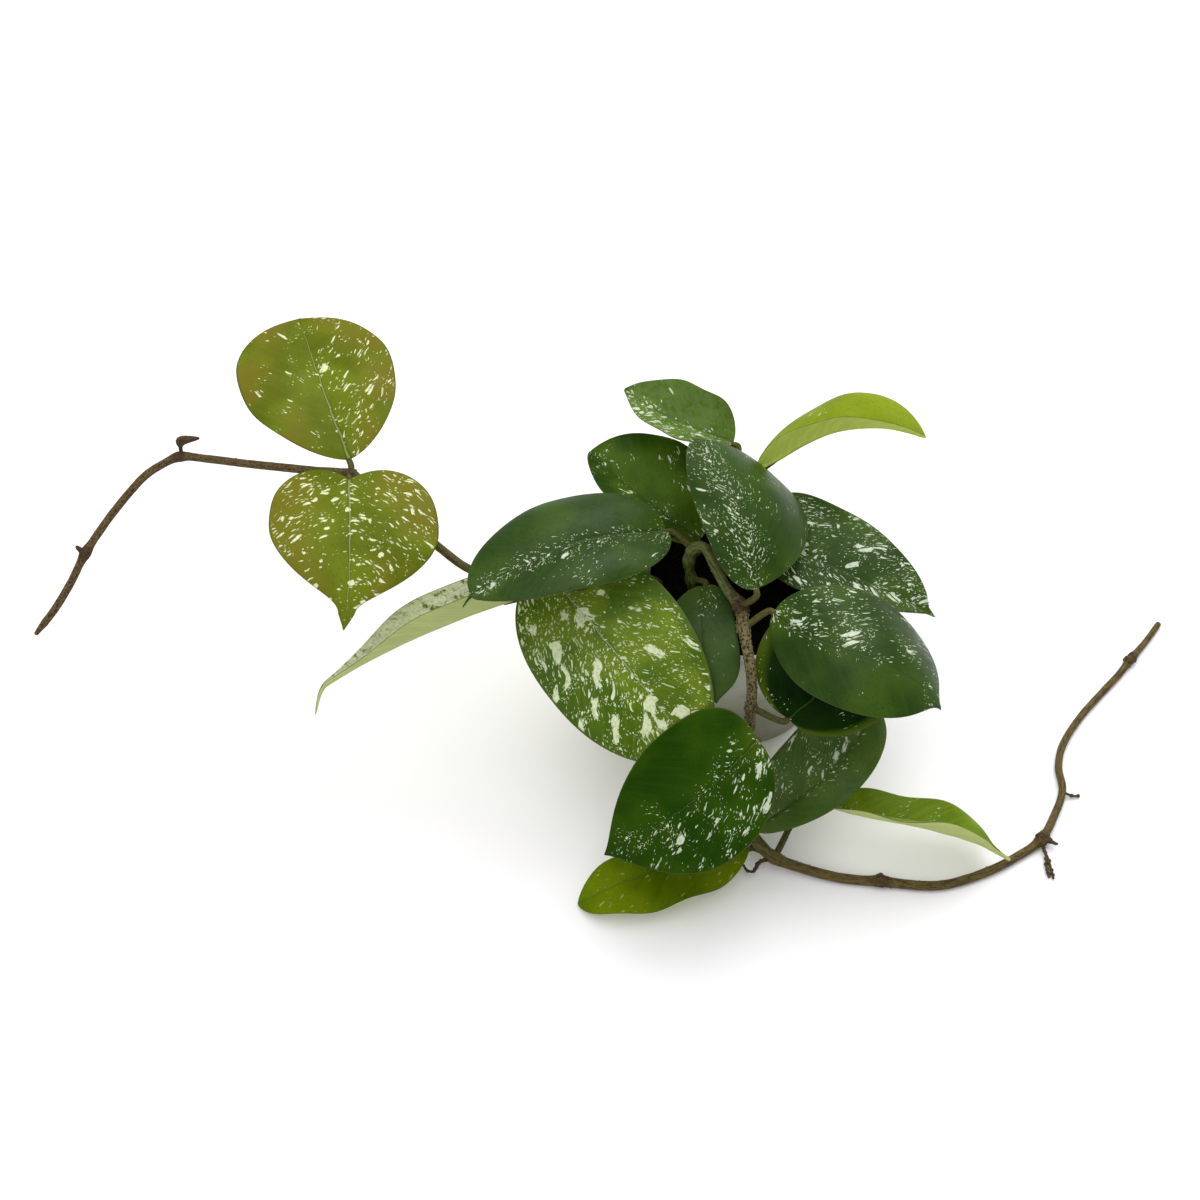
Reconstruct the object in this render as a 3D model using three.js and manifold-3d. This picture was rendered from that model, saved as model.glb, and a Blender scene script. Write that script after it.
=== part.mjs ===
// A potted hoya with speckled leaves: a pale pot, its soil, three woody vines and their leaves.
// Millimetres, +Z up, +Y away from the viewer. The origin is the centre of the pot's flat base.
import * as THREE from "three";
import { mergeVertices } from "three/addons/utils/BufferGeometryUtils.js";
import Module from "manifold-3d";

// The pot and its soil.
const POT_HEIGHT = 104;
const POT_TOP_RADIUS = 50;
const POT_BASE_RADIUS = 43;
const POT_WALL = 2.2;
const RIM_HEIGHT = 9;
const RIM_STEP = 1.4;
const LIP_CHAMFER = 0.8;
const FOOT_CHAMFER = 1.4;
const POT_SEGMENTS = 40;
const SOIL_LEVEL = 92;
const SOIL_RELIEF = 1.2;
const MOUND_RADIUS = 12;
const DITCH_RADIUS = 25;
const BANK_RADIUS = 36;

// The clear gap between two neighbouring pieces, and the level that the pot stands on.
const GAP = 0.3;
const FLOOR = 0;

// Corners nearer to each other than this are one corner.
const MERGE_DISTANCE = 1e-4;

// The blades: their thickness along the midrib and at the margin, and how finely they are divided.
const BLADE_THICKNESS = 1.5;
const MARGIN_THICKNESS = 0.8;
const BLADE_ROWS = 12;
const HALF_COLUMNS = 3;

// The outline of a blade, in shares of its length and of its half width: how far the curves reach
// from the base, from the widest place and into the tip, and how full they are there.
const LOBE_REACH = 1.5;
const LOBE_FULLNESS = 0.3;
const SHOULDER_REACH = 0.36;
const FLANK_REACH = 0.34;
const TIP_REACH = 0.98;
const POINT_REACH = 0.22;
const TIP_FULLNESS = 0.42;

// Where along the midrib most tips start to curl, and how many ripples a margin has.
const CURL_FROM = 0.75;
const RIPPLES = 2.5;

// The stems: how many sides they have, and the step between their rings.
const VINE_SIDES = 8;
const VINE_STEP = 6;
const BRACT_SIDES = 6;
const BRACT_STEP = 2.4;
const PETIOLE_SIDES = 7;
const PETIOLE_STEP = 4.5;

// A petiole is thickest at its node. It comes up to the blade in line with the midrib, and runs on
// under it, sunk halfway into the blade.
const PETIOLE_RADIUS = 1.6;
const PETIOLE_TAPER = [1.05, 1, 1, 0.5];
const PETIOLE_LEAD = 4;
const PETIOLE_RUN = 9;
const PETIOLE_SINK = 0.8;

// How much wider a vine is at a node, and how far the swelling reaches along it.
const NODE_SWELLING = 0.8;
const NODE_LENGTH = 3.6;

const FINISHES = {
  pot: { color: 0xc9c9bf, roughness: 0.42, metalness: 0 },
  soil: { color: 0x17120d, roughness: 0.98, metalness: 0 },
  bark: { color: 0x7d6a4c, roughness: 0.85, metalness: 0 },
  vine: { color: 0x4b4426, roughness: 0.7, metalness: 0 },
  darkLeaf: { color: 0x2c4a1c, roughness: 0.38, metalness: 0 },
  brightLeaf: { color: 0x5d7f16, roughness: 0.4, metalness: 0 },
  youngLeaf: { color: 0x8a9a1e, roughness: 0.42, metalness: 0 },
};

// Each vine is a list of places along its axis, from its foot in the soil to its tip: x, y, z, radius.
// Its swollen nodes are the places that its leaves, bracts and roots grow from.
const VINES = {
  vine_trailing: {
    finish: "bark",
    path: [
      [-24, -5, 66, 2.5],
      [-24, -5, 84, 2.5],
      [-25.5, -3.5, 100, 2.5],
      [-27, -0.5, 113, 2.4],
      [-25, 1.5, 120.5, 2.4],
      [-20, 1, 122.5, 2.4],
      [-15.5, -7, 120.5, 2.4],
      [-9, -19, 117, 2.6],
      [-3, -27, 114, 3.1],
      [-1.5, -37.5, 112, 2.7],
      [0, -47, 110.5, 2.6],
      [1.5, -56.5, 107, 2.6],
      [2.5, -63.5, 97, 2.6],
      [2.5, -66, 85, 2.6],
      [2, -68.5, 71, 2.5],
      [2, -72, 54, 2.5],
      [2, -83, 32, 2.5],
      [5, -100, 13.5, 2.6],
      [16.5, -109, 7.5, 2.8],
      [29, -113, 4.4, 2.6],
      [49, -118, 2.9, 2.5],
      [69, -120, 2.7, 2.5],
      [98, -122, 2.6, 2.4],
      [121, -115, 2.6, 2.3],
      [137, -106.5, 2.5, 2.2],
      [150, -97, 2.6, 2.2],
      [158, -83, 2.3, 2],
      [163, -69, 2.2, 1.9],
      [162, -56, 2.2, 1.9],
      [165, -44, 2.3, 1.9],
      [175, -28, 2.1, 1.8],
      [187, -14, 2.1, 1.8],
      [197, -3, 2.1, 1.8],
      [204, 6, 2.2, 1.8],
      [213, 17, 2, 1.6],
      [221, 28, 2, 1.5],
    ],
    nodes: {
      foot: 2, arch: 3, bend: 4, knot: 8, crossing: 9, front: 13,
      low: 14, floor: 18, run: 21, bract: 25, far: 33,
    },
  },
  vine_left: {
    finish: "vine",
    path: [
      [-42, -4, 68, 2.1],
      [-42, -4, 86, 2.1],
      [-42, -6, 101, 2.1],
      [-50, -8, 109, 2.1],
      [-66, -12, 110, 2.1],
      [-82, -13.5, 110, 2.1],
      [-97, -13, 109, 2.2],
      [-109, -12, 110, 2.1],
      [-121, -10, 113, 2.1],
      [-134, -7, 117, 2.1],
      [-148, 2, 122, 2.1],
      [-166, 17, 128, 2.1],
      [-181, 28, 133, 2.1],
      [-190, 34, 135.5, 2.2],
      [-210, 37, 135, 2.1],
      [-240, 42, 133, 2],
      [-262, 47, 130, 2],
      [-275, 50, 127, 2],
      [-284, 48, 123, 2],
      [-292, 44.5, 119, 2],
      [-300, 38, 114, 2],
      [-311, 27, 106, 2],
      [-322, 12.5, 98, 2],
      [-330, 1, 88, 2],
      [-338, -7, 78, 2],
      [-344, -12, 72, 1.9],
      [-349, -16, 67, 1],
    ],
    nodes: { pair: 6, heart: 13, leaflet: 17, bract: 22 },
  },
  vine_back: {
    finish: "vine",
    path: [
      [2, 10, 68, 2.4],
      [2, 10, 86, 2.4],
      [6, 13, 102, 2.4],
      [7, 19, 113, 2.4],
      [4, 27, 118, 2.3],
      [0, 36, 120, 2.2],
      [-4, 45, 123, 1.6],
    ],
    nodes: { side: 3, crown: 5, end: 6 },
  },
};

// The small things at the nodes, fused to their vine: x, y, z, radius from root to end.
const BRACT_PATHS = {
  vine_left: [
    [
      [-274, 50, 127, 1],
      [-274, 52, 132, 1],
      [-273.5, 53, 136, 2.4],
      [-269, 53, 138, 1.8],
      [-264, 53, 139, 0.6],
    ],
    [[-322, 12.5, 98, 1.4], [-325, 14, 100, 1.3], [-326.5, 15, 101, 0.6]],
  ],
  vine_trailing: [
    [[150, -97, 2.6, 1.6], [154, -98, 3.4, 1.3], [158, -100, 3.2, 0.6]],
    [[150, -98, 2.6, 0.8], [152, -105, 2, 0.8], [154, -112, 1.2, 0.7], [155, -118, 0.9, 0.6]],
    [[152, -106, 2, 0.6], [152, -113, 1.2, 0.6], [153, -117, 0.9, 0.6]],
    [[163, -70, 2.2, 0.7], [167, -72, 1.6, 0.6], [171, -72, 1, 0.6]],
    [[16.5, -109, 7.5, 1], [9, -111, 6, 0.9], [6, -115, 4, 0.8], [3, -114, 3, 0.7], [1, -111, 4, 0.6]],
  ],
  vine_back: [],
};

// Each leaf grows on a petiole from a node of its vine. base and tip are the ends of its blade.
// roll turns the blade about its midrib and raises its left half, seen from base to tip, and twist is
// how much more it is turned at the tip. fold raises both halves from the midrib, in degrees.
// arch lifts the midrib's middle, bend bows it to the left, cup lifts the margins, curl drops the tip
// from curlFrom on, and wave ripples the margins, all in millimetres but curlFrom, which is a share.
// lobe is how far the blade reaches back past its petiole, point how drawn out its tip is, and lean
// how much wider its left half is than its right one.
const LEAVES = {
  leaf_round: {
    finish: "youngLeaf", vine: "vine_left", node: "heart",
    base: [-191, 40.5, 140], tip: [-219.5, 123, 139], width: 80,
    roll: 5, twist: 5, fold: 15, arch: 4, bend: 1.5, cup: -9, curl: 0, wave: 1,
    lobe: 0, widest: 0.57, point: 0.15, lean: 0.03,
  },
  leaf_heart: {
    finish: "youngLeaf", vine: "vine_left", node: "heart",
    base: [-190.5, 29, 139], tip: [-190.5, -46, 127], width: 81,
    roll: -2, twist: -11, fold: 2, arch: 8, bend: 1, cup: -4, curl: 3.5, wave: 0.8,
    lobe: 0.11, widest: 0.35, point: 0.8, lean: 0.05,
  },
  leaf_folded: {
    finish: "brightLeaf", vine: "vine_left", node: "pair",
    base: [-108.5, -15, 103.5], tip: [-210.5, -63, 91], width: 44,
    roll: 36, fold: 36, arch: 4.5, cup: 3, curl: 11, curlFrom: 0.9, wave: 0.5,
    lobe: 0.01, widest: 0.28, point: 0.95, lean: 0.2,
  },
  leaf_upper_left: {
    finish: "darkLeaf", vine: "vine_trailing", node: "bend",
    base: [-38, 7, 128.5], tip: [-135, -35, 132.5], width: 62,
    roll: 0, twist: 12, fold: 26, arch: 14.5, cup: -14, curl: 4, curlFrom: 0.93, wave: 0.4,
    lobe: 0.01, widest: 0.44, point: 0.05, lean: -0.05,
  },
  leaf_splashed: {
    finish: "brightLeaf", vine: "vine_left", node: "pair",
    base: [-98, 0, 104], tip: [-22, -84, 68.5], width: 79.5,
    roll: 28, twist: 10, fold: 9, arch: 13, bend: 4.5, cup: -3, curl: 3.5, wave: 0.4,
    lobe: 0.03, widest: 0.46, point: 0,
  },
  leaf_front: {
    finish: "darkLeaf", vine: "vine_trailing", node: "low",
    base: [5, -87, 91], tip: [-68, -121, 36], width: 70,
    roll: -15, twist: 8, fold: 3, arch: 6, bend: 6.5, cup: -3, curl: 0, wave: 0.4,
    lobe: 0.02, widest: 0.39, point: 0.47, lean: -0.03,
  },
  leaf_lower_right: {
    finish: "darkLeaf", vine: "vine_trailing", node: "floor",
    base: [8, -98, 19], tip: [66.5, -50, 56], width: 46.5,
    roll: 8, twist: 14, fold: 26, arch: 7.5, bend: -6.5, cup: -1, curl: 1.5, wave: 0.4,
    lobe: 0.06, widest: 0.62, point: 0, lean: 0.24,
  },
  leaf_right: {
    finish: "darkLeaf", vine: "vine_trailing", node: "crossing",
    base: [12.5, -35.5, 122], tip: [91, -79, 108], width: 64,
    roll: 36, twist: -60, fold: 0, arch: 17.5, bend: -3.5, cup: -14, curl: 0.5, wave: 0.4,
    lobe: 0.02, widest: 0.57, point: 0.3, lean: 0.2,
  },
  leaf_glossy: {
    finish: "darkLeaf", vine: "vine_trailing", node: "front",
    base: [20.5, -73.5, 88], tip: [59, -33.5, 114], width: 69,
    roll: 26, fold: 0, arch: 5.5, bend: -3, cup: -5, curl: 3, wave: 0.2,
    lobe: 0.05, widest: 0.5, point: 0.2, lean: 0.11,
  },
  leaf_inner: {
    finish: "darkLeaf", vine: "vine_trailing", node: "foot",
    base: [-19.5, -12.5, 108], tip: [-14, -66.5, 90], width: 38,
    roll: 10, fold: 5, arch: 10, bend: -3.5, cup: -4, curl: 0, wave: 0.2,
    lobe: 0.05, widest: 0.55, point: 0.32, lean: -0.07,
  },
  leaf_back_left: {
    finish: "darkLeaf", vine: "vine_trailing", node: "arch",
    base: [-22.5, 9.5, 115], tip: [-75.5, 53, 126], width: 56,
    roll: 11, fold: 22, arch: 2, bend: 3, cup: -1.5, curl: 0, wave: 0.6,
    lobe: 0.02, widest: 0.44, point: 0, lean: -0.3,
  },
  leaf_centre: {
    finish: "darkLeaf", vine: "vine_trailing", node: "knot",
    base: [4.5, -25.5, 129], tip: [-25.5, 42, 156], width: 64,
    roll: 2, twist: 27, fold: 0, arch: 4.5, bend: -6.5, cup: -12, curl: 1, wave: 0.3,
    lobe: 0.01, widest: 0.5, point: 0.11, lean: -0.37,
  },
  leaf_back_right: {
    finish: "darkLeaf", vine: "vine_back", node: "side",
    base: [7.5, 21, 106.5], tip: [92.5, -22.5, 97], width: 56.5,
    roll: 5, twist: -18, fold: 21, arch: 7, bend: -5.5, cup: -7, curl: 0.5, wave: 0.4,
    lobe: 0.04, widest: 0.36, point: 0.29, lean: 0.2,
  },
  leaf_top: {
    finish: "darkLeaf", vine: "vine_back", node: "end",
    base: [-5, 56.5, 129.5], tip: [-58, 80, 141], width: 36,
    roll: 16, twist: -17, fold: 18, arch: 3.5, bend: 6.5, cup: 3, curl: 0, wave: 0.9,
    lobe: 0, widest: 0.43, point: 0.18, lean: -0.08,
  },
  leaf_arching: {
    finish: "youngLeaf", vine: "vine_back", node: "crown",
    base: [7.5, 47.5, 119.5], tip: [87, 54.5, 142.5], width: 49,
    roll: -60, twist: 31, fold: 45, arch: 9, bend: 5, cup: -6.5, curl: 3.5, wave: 0.4,
    lobe: 0.01, widest: 0.45, point: 0, lean: 0.24,
  },
  leaf_low_left: {
    finish: "brightLeaf", vine: "vine_trailing", node: "floor",
    base: [3.5, -105, 10], tip: [-81, -132, 3.5], width: 39,
    roll: 4, twist: 7, fold: 1, arch: 7, bend: 1, cup: -1, curl: 0, wave: 2,
    lobe: 0, widest: 0.5, point: 0, lean: 0.05,
  },
  leaf_low_right: {
    finish: "brightLeaf", vine: "vine_trailing", node: "floor",
    base: [35.5, -83.5, 20], tip: [134, -108, 8], width: 42,
    roll: -30, twist: -24, fold: 30, arch: 6.5, bend: -12, cup: -1, curl: 3, wave: 1.4,
    lobe: 0, widest: 0.6, point: 0.73, lean: -0.08,
  },
};

const wasm = await Module();
wasm.setup();

// A closed geometry as a solid that can be joined and cut, turned the right way out.
function solidOf(geometry) {
  const bare = geometry.clone();
  bare.deleteAttribute("normal");
  bare.deleteAttribute("uv");
  const merged = mergeVertices(bare, MERGE_DISTANCE);
  const vertProperties = new Float32Array(merged.attributes.position.array);
  const triVerts = new Uint32Array(merged.index.array);
  const solid = new wasm.Manifold(new wasm.Mesh({ numProp: 3, vertProperties, triVerts }));
  if (solid.volume() > 0) {
    return solid;
  }
  triVerts.reverse();
  return new wasm.Manifold(new wasm.Mesh({ numProp: 3, vertProperties, triVerts }));
}

function geometryOf(solid) {
  const mesh = solid.getMesh();
  const geometry = new THREE.BufferGeometry();
  geometry.setAttribute("position", new THREE.BufferAttribute(new Float32Array(mesh.vertProperties), 3));
  geometry.setIndex(new THREE.BufferAttribute(new Uint32Array(mesh.triVerts), 1));
  geometry.computeVertexNormals();
  return geometry;
}

function vector(place) {
  return new THREE.Vector3(place[0], place[1], place[2]);
}

// A round stem through the places of a path, each x, y, z, radius, a little wider at its nodes and
// flat where it lies on the floor.
function stemGeometry(path, sides, step, extra = 0, swollen = []) {
  const curve = new THREE.CatmullRomCurve3(path.map(vector), false, "centripetal");
  const steps = Math.max(2, Math.round(curve.getLength() / step));
  const section = new THREE.Shape();
  for (let i = 0; i < sides; i++) {
    const angle = (2 * Math.PI * i) / sides;
    if (i === 0) {
      section.moveTo(Math.cos(angle), Math.sin(angle));
    } else {
      section.lineTo(Math.cos(angle), Math.sin(angle));
    }
  }
  const geometry = new THREE.ExtrudeGeometry(section, { steps, extrudePath: curve, bevelEnabled: false });
  const centres = curve.getSpacedPoints(steps);
  const radii = centres.map((centre, i) => {
    const along = curve.getUtoTmapping(i / steps) * (path.length - 1);
    const before = Math.min(Math.floor(along), path.length - 2);
    const radius = THREE.MathUtils.lerp(path[before][3], path[before + 1][3], along - before);
    const swelling = swollen.reduce(
      (most, node) => Math.max(most, Math.exp(-((centre.distanceTo(node) / NODE_LENGTH) ** 2))),
      0,
    );
    return radius + extra + NODE_SWELLING * swelling;
  });
  const position = geometry.attributes.position;
  const point = new THREE.Vector3();
  for (let i = 0; i < position.count; i++) {
    point.fromBufferAttribute(position, i);
    let nearest = 0;
    for (let j = 1; j < centres.length; j++) {
      if (point.distanceToSquared(centres[j]) < point.distanceToSquared(centres[nearest])) {
        nearest = j;
      }
    }
    point.sub(centres[nearest]).multiplyScalar(radii[nearest]).add(centres[nearest]);
    position.setXYZ(i, point.x, point.y, Math.max(FLOOR, point.z));
  }
  return geometry;
}

function vineSolid(vine, extra = 0) {
  const path = vine.path.map((place) => [...place]);
  if (extra > 0) {
    path[0][2] -= extra;
  }
  const swollen = Object.values(vine.nodes).map((index) => vector(vine.path[index]));
  return solidOf(stemGeometry(path, VINE_SIDES, VINE_STEP, extra, swollen));
}

// Half of a blade's outline, from its petiole back round the lobe and out to the tip, as fractions of
// the blade's length and of its half width.
function outlineOf(leaf) {
  const side = new THREE.CurvePath();
  const widest = new THREE.Vector2(leaf.widest, 1);
  side.add(
    new THREE.CubicBezierCurve(
      new THREE.Vector2(0, 0),
      new THREE.Vector2(-LOBE_REACH * leaf.lobe, LOBE_FULLNESS),
      new THREE.Vector2(leaf.widest - SHOULDER_REACH - leaf.lobe, 1),
      widest,
    ),
  );
  side.add(
    new THREE.CubicBezierCurve(
      widest,
      new THREE.Vector2(leaf.widest + FLANK_REACH, 1),
      new THREE.Vector2(TIP_REACH - POINT_REACH * leaf.point, TIP_FULLNESS * (1 - leaf.point)),
      new THREE.Vector2(1, 0),
    ),
  );
  return side;
}

// A place on the middle surface of a blade: s runs along the midrib, v across it from -1 to 1.
function bladeSurface(leaf) {
  const base = vector(leaf.base);
  const tip = vector(leaf.tip);
  const length = base.distanceTo(tip);
  const along = tip.clone().sub(base).normalize();
  const level = new THREE.Vector3(0, 0, 1).cross(along).normalize();
  const outline = outlineOf(leaf);
  const fold = THREE.MathUtils.degToRad(leaf.fold);
  const { twist = 0, lean = 0, bend = 0, curlFrom = CURL_FROM } = leaf;
  return (s, v) => {
    const edge = outline.getPoint(s);
    const t = s + (edge.x - s) * Math.abs(v);
    const share = edge.y * (v + lean * v * v);
    const across = 0.5 * leaf.width * share;
    const drop = Math.max(0, (t - curlFrom) / (1 - curlFrom));
    const roll = THREE.MathUtils.degToRad(leaf.roll + twist * t);
    const left = level.clone().applyAxisAngle(along, roll);
    const up = along.clone().cross(left);
    const height =
      leaf.arch * Math.sin(Math.PI * t) +
      Math.abs(across) * Math.sin(fold) +
      leaf.cup * share * share -
      leaf.curl * drop * drop +
      leaf.wave * v * v * Math.sin(2 * Math.PI * RIPPLES * t + leaf.width);
    return base
      .clone()
      .addScaledVector(along, length * t)
      .addScaledVector(left, across * Math.cos(fold) + bend * Math.sin(Math.PI * t))
      .addScaledVector(up, height);
  };
}

// A blade: a sheet of rows that run out and forward from the midrib, as its veins do, thickened
// alike on both faces and thinner at the margin.
function bladeGeometry(leaf) {
  const surface = bladeSurface(leaf);
  const columns = 2 * HALF_COLUMNS;
  const middle = [surface(0, 0)];
  const thickness = [MARGIN_THICKNESS];
  for (let row = 1; row < BLADE_ROWS; row++) {
    for (let column = 0; column <= columns; column++) {
      const v = (column - HALF_COLUMNS) / HALF_COLUMNS;
      middle.push(surface(row / BLADE_ROWS, v));
      thickness.push(THREE.MathUtils.lerp(BLADE_THICKNESS, MARGIN_THICKNESS, Math.abs(v)));
    }
  }
  middle.push(surface(1, 0));
  thickness.push(MARGIN_THICKNESS);
  const last = middle.length - 1;
  const at = (row, column) => 1 + (row - 1) * (columns + 1) + column;
  const faces = [];
  for (let column = 0; column < columns; column++) {
    faces.push([0, at(1, column), at(1, column + 1)]);
    for (let row = 1; row < BLADE_ROWS - 1; row++) {
      const corners = [at(row, column), at(row + 1, column), at(row + 1, column + 1), at(row, column + 1)];
      if (column < HALF_COLUMNS) {
        faces.push([corners[0], corners[1], corners[3]], [corners[1], corners[2], corners[3]]);
      } else {
        faces.push([corners[0], corners[1], corners[2]], [corners[0], corners[2], corners[3]]);
      }
    }
    faces.push([at(BLADE_ROWS - 1, column), last, at(BLADE_ROWS - 1, column + 1)]);
  }
  const sheet = new THREE.BufferGeometry().setFromPoints(middle);
  sheet.setIndex(faces.flat());
  sheet.computeVertexNormals();
  const normal = new THREE.Vector3();
  const points = [];
  for (const side of [0.5, -0.5]) {
    middle.forEach((place, i) => {
      normal.fromBufferAttribute(sheet.attributes.normal, i);
      points.push(place.clone().addScaledVector(normal, side * thickness[i]));
    });
  }
  const below = middle.length;
  const rim = [0];
  for (let row = 1; row < BLADE_ROWS; row++) {
    rim.push(at(row, 0));
  }
  rim.push(last);
  for (let row = BLADE_ROWS - 1; row > 0; row--) {
    rim.push(at(row, columns));
  }
  const index = [];
  for (const [a, b, c] of faces) {
    index.push(a, b, c, a + below, c + below, b + below);
  }
  rim.forEach((a, i) => {
    const b = rim[(i + 1) % rim.length];
    index.push(b, a, a + below, b, a + below, b + below);
  });
  const geometry = new THREE.BufferGeometry().setFromPoints(points);
  geometry.setIndex(index);
  return geometry;
}

// The petiole leaves its node, bends to the blade and runs on a little way under the midrib.
function petioleGeometry(leaf, node) {
  const surface = bladeSurface(leaf);
  const base = surface(0, 0);
  const length = base.distanceTo(vector(leaf.tip));
  const inner = surface(PETIOLE_RUN / length, 0);
  const run = inner.clone().sub(base);
  const approach = base.clone().addScaledVector(run, -PETIOLE_LEAD / PETIOLE_RUN);
  base.z -= PETIOLE_SINK;
  inner.z -= PETIOLE_SINK;
  const places = [node, approach, base, inner];
  const path = places.map((place, i) => [place.x, place.y, place.z, PETIOLE_RADIUS * PETIOLE_TAPER[i]]);
  return stemGeometry(path, PETIOLE_SIDES, PETIOLE_STEP);
}

// The radius of the pot's tapered outside, below its rim.
function wallRadius(z) {
  return POT_BASE_RADIUS + ((POT_TOP_RADIUS - RIM_STEP - POT_BASE_RADIUS) * z) / POT_HEIGHT;
}

function lathe(profile) {
  return new THREE.LatheGeometry(profile.map(([x, y]) => new THREE.Vector2(x, y)), POT_SEGMENTS);
}

function potGeometry() {
  const rimFoot = POT_HEIGHT - RIM_HEIGHT;
  const innerFoot = POT_WALL + FOOT_CHAMFER;
  return lathe([
    [0, 0],
    [POT_BASE_RADIUS - FOOT_CHAMFER, 0],
    [wallRadius(FOOT_CHAMFER), FOOT_CHAMFER],
    [wallRadius(rimFoot), rimFoot],
    [POT_TOP_RADIUS, rimFoot + RIM_STEP],
    [POT_TOP_RADIUS, POT_HEIGHT - LIP_CHAMFER],
    [POT_TOP_RADIUS - LIP_CHAMFER, POT_HEIGHT],
    [POT_TOP_RADIUS - POT_WALL, POT_HEIGHT],
    [wallRadius(rimFoot) - POT_WALL, rimFoot],
    [wallRadius(innerFoot) - POT_WALL, innerFoot],
    [wallRadius(POT_WALL) - POT_WALL - FOOT_CHAMFER, POT_WALL],
    [0, POT_WALL],
  ]);
}

// The soil fills the pot to its level, with a low mound round the vines and a shallow ditch beyond.
function soilGeometry() {
  const inside = (z) => wallRadius(z) - POT_WALL - GAP;
  const foot = POT_WALL + GAP;
  return lathe([
    [0, foot],
    [inside(foot) - FOOT_CHAMFER, foot],
    [inside(foot + FOOT_CHAMFER), foot + FOOT_CHAMFER],
    [inside(SOIL_LEVEL - SOIL_RELIEF), SOIL_LEVEL - SOIL_RELIEF],
    [BANK_RADIUS, SOIL_LEVEL],
    [DITCH_RADIUS, SOIL_LEVEL - 0.5 * SOIL_RELIEF],
    [MOUND_RADIUS, SOIL_LEVEL + SOIL_RELIEF],
    [0, SOIL_LEVEL + 0.6 * SOIL_RELIEF],
  ]);
}

// Lathe shapes turn about Y: this stands them up.
function upright(geometry) {
  return solidOf(geometry.rotateX(Math.PI / 2));
}

const plant = new THREE.Group();
plant.name = "potted_hoya";

function place(name, solid, finish) {
  const material = new THREE.MeshStandardMaterial({ name: finish, ...FINISHES[finish] });
  const mesh = new THREE.Mesh(geometryOf(solid), material);
  mesh.name = name;
  plant.add(mesh);
}

place("pot", upright(potGeometry()), "pot");

const clearances = {};
let soil = upright(soilGeometry());
for (const [name, vine] of Object.entries(VINES)) {
  clearances[name] = vineSolid(vine, GAP);
  soil = soil.subtract(clearances[name]);
}
place("soil", soil, "soil");

for (const [name, vine] of Object.entries(VINES)) {
  let solid = vineSolid(vine);
  for (const path of BRACT_PATHS[name]) {
    solid = solid.add(solidOf(stemGeometry(path, BRACT_SIDES, BRACT_STEP)));
  }
  place(name, solid, vine.finish);
}

for (const [name, leaf] of Object.entries(LEAVES)) {
  const vine = VINES[leaf.vine];
  const node = vector(vine.path[vine.nodes[leaf.node]]);
  const blade = solidOf(bladeGeometry(leaf));
  const petiole = solidOf(petioleGeometry(leaf, node));
  place(name, blade.add(petiole).subtract(clearances[leaf.vine]), leaf.finish);
}

export default plant;
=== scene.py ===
"""A potted hoya with silver-flecked leaves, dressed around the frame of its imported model.

Tables give sizes and places in millimetres, and every mesh holds metres. The order is the one in
which the plant is put together: the studio, the pot, the soil, the vines with what grows at their
nodes, and the leaves on their petioles.
"""
import math

import bpy
import numpy as np
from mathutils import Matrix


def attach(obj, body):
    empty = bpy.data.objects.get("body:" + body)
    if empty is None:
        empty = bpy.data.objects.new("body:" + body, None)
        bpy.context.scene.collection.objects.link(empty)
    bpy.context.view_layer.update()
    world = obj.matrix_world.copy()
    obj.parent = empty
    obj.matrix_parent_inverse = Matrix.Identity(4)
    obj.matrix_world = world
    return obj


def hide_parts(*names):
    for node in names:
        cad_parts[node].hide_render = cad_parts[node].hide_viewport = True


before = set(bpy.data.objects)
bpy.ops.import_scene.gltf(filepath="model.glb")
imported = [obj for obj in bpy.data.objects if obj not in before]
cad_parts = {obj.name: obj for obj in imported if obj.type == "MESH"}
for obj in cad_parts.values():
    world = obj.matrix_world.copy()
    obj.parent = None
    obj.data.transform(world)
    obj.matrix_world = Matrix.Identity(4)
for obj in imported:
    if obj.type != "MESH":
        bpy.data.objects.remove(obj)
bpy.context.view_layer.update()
MM = 0.001

# ---------------------------------------------------------------------------------------------
# The studio: a white paper floor under a bright, even sky. A wide soft light behind the plant, on
# its right, throws the faint shadow to the front left. Weaker ones hang above and fill in.
# ---------------------------------------------------------------------------------------------
VIEW_ELEVATION = 60
VIEW_TARGET = np.array([-70, 8, 60]) * MM
VIEW_DISTANCE = 1500 * MM
LENS, SENSOR = 90, 36
LAMPS = {
    "key_light": {"place": (0.6, 1.1, 1.6), "size": 1.6, "watts": 23},
    "top_light": {"place": (-0.3, 0.0, 2.0), "size": 1.8, "watts": 14},
    "fill_light": {"place": (-1.4, -1.1, 1.3), "size": 1.8, "watts": 6},
}
LAMP_TARGET = (0, 0, 0.05)
SKY_FRONT, SKY_BACK = 0.46, 0.76
SKY_SPAN = (-0.7, 0.6)
FLOOR_HALF, FLOOR_GRAIN = 6.0, 3.0
FLOOR_WHITES = (0.975, 0.96, 0.985), (0.99, 0.975, 1.0)


class Value:
    """A number or vector that a tree of nodes works out. Arithmetic with it adds nodes to the tree."""

    def __init__(self, tree, socket):
        self.tree = tree
        self.socket = socket

    def __add__(self, other):
        return calc("ADD", self, other)

    def __sub__(self, other):
        return calc("SUBTRACT", self, other)

    def __mul__(self, other):
        return calc("MULTIPLY", self, other)

    def __truediv__(self, other):
        return calc("DIVIDE", self, other)

    def __pow__(self, other):
        return calc("POWER", self, other)

    def __abs__(self):
        return calc("ABSOLUTE", self)


def feed(tree, node, inputs):
    """Links or sets each of these inputs of a node."""
    for name, value in inputs.items():
        if isinstance(value, Value):
            tree.links.new(value.socket, node.inputs[name])
        else:
            node.inputs[name].default_value = value


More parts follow.
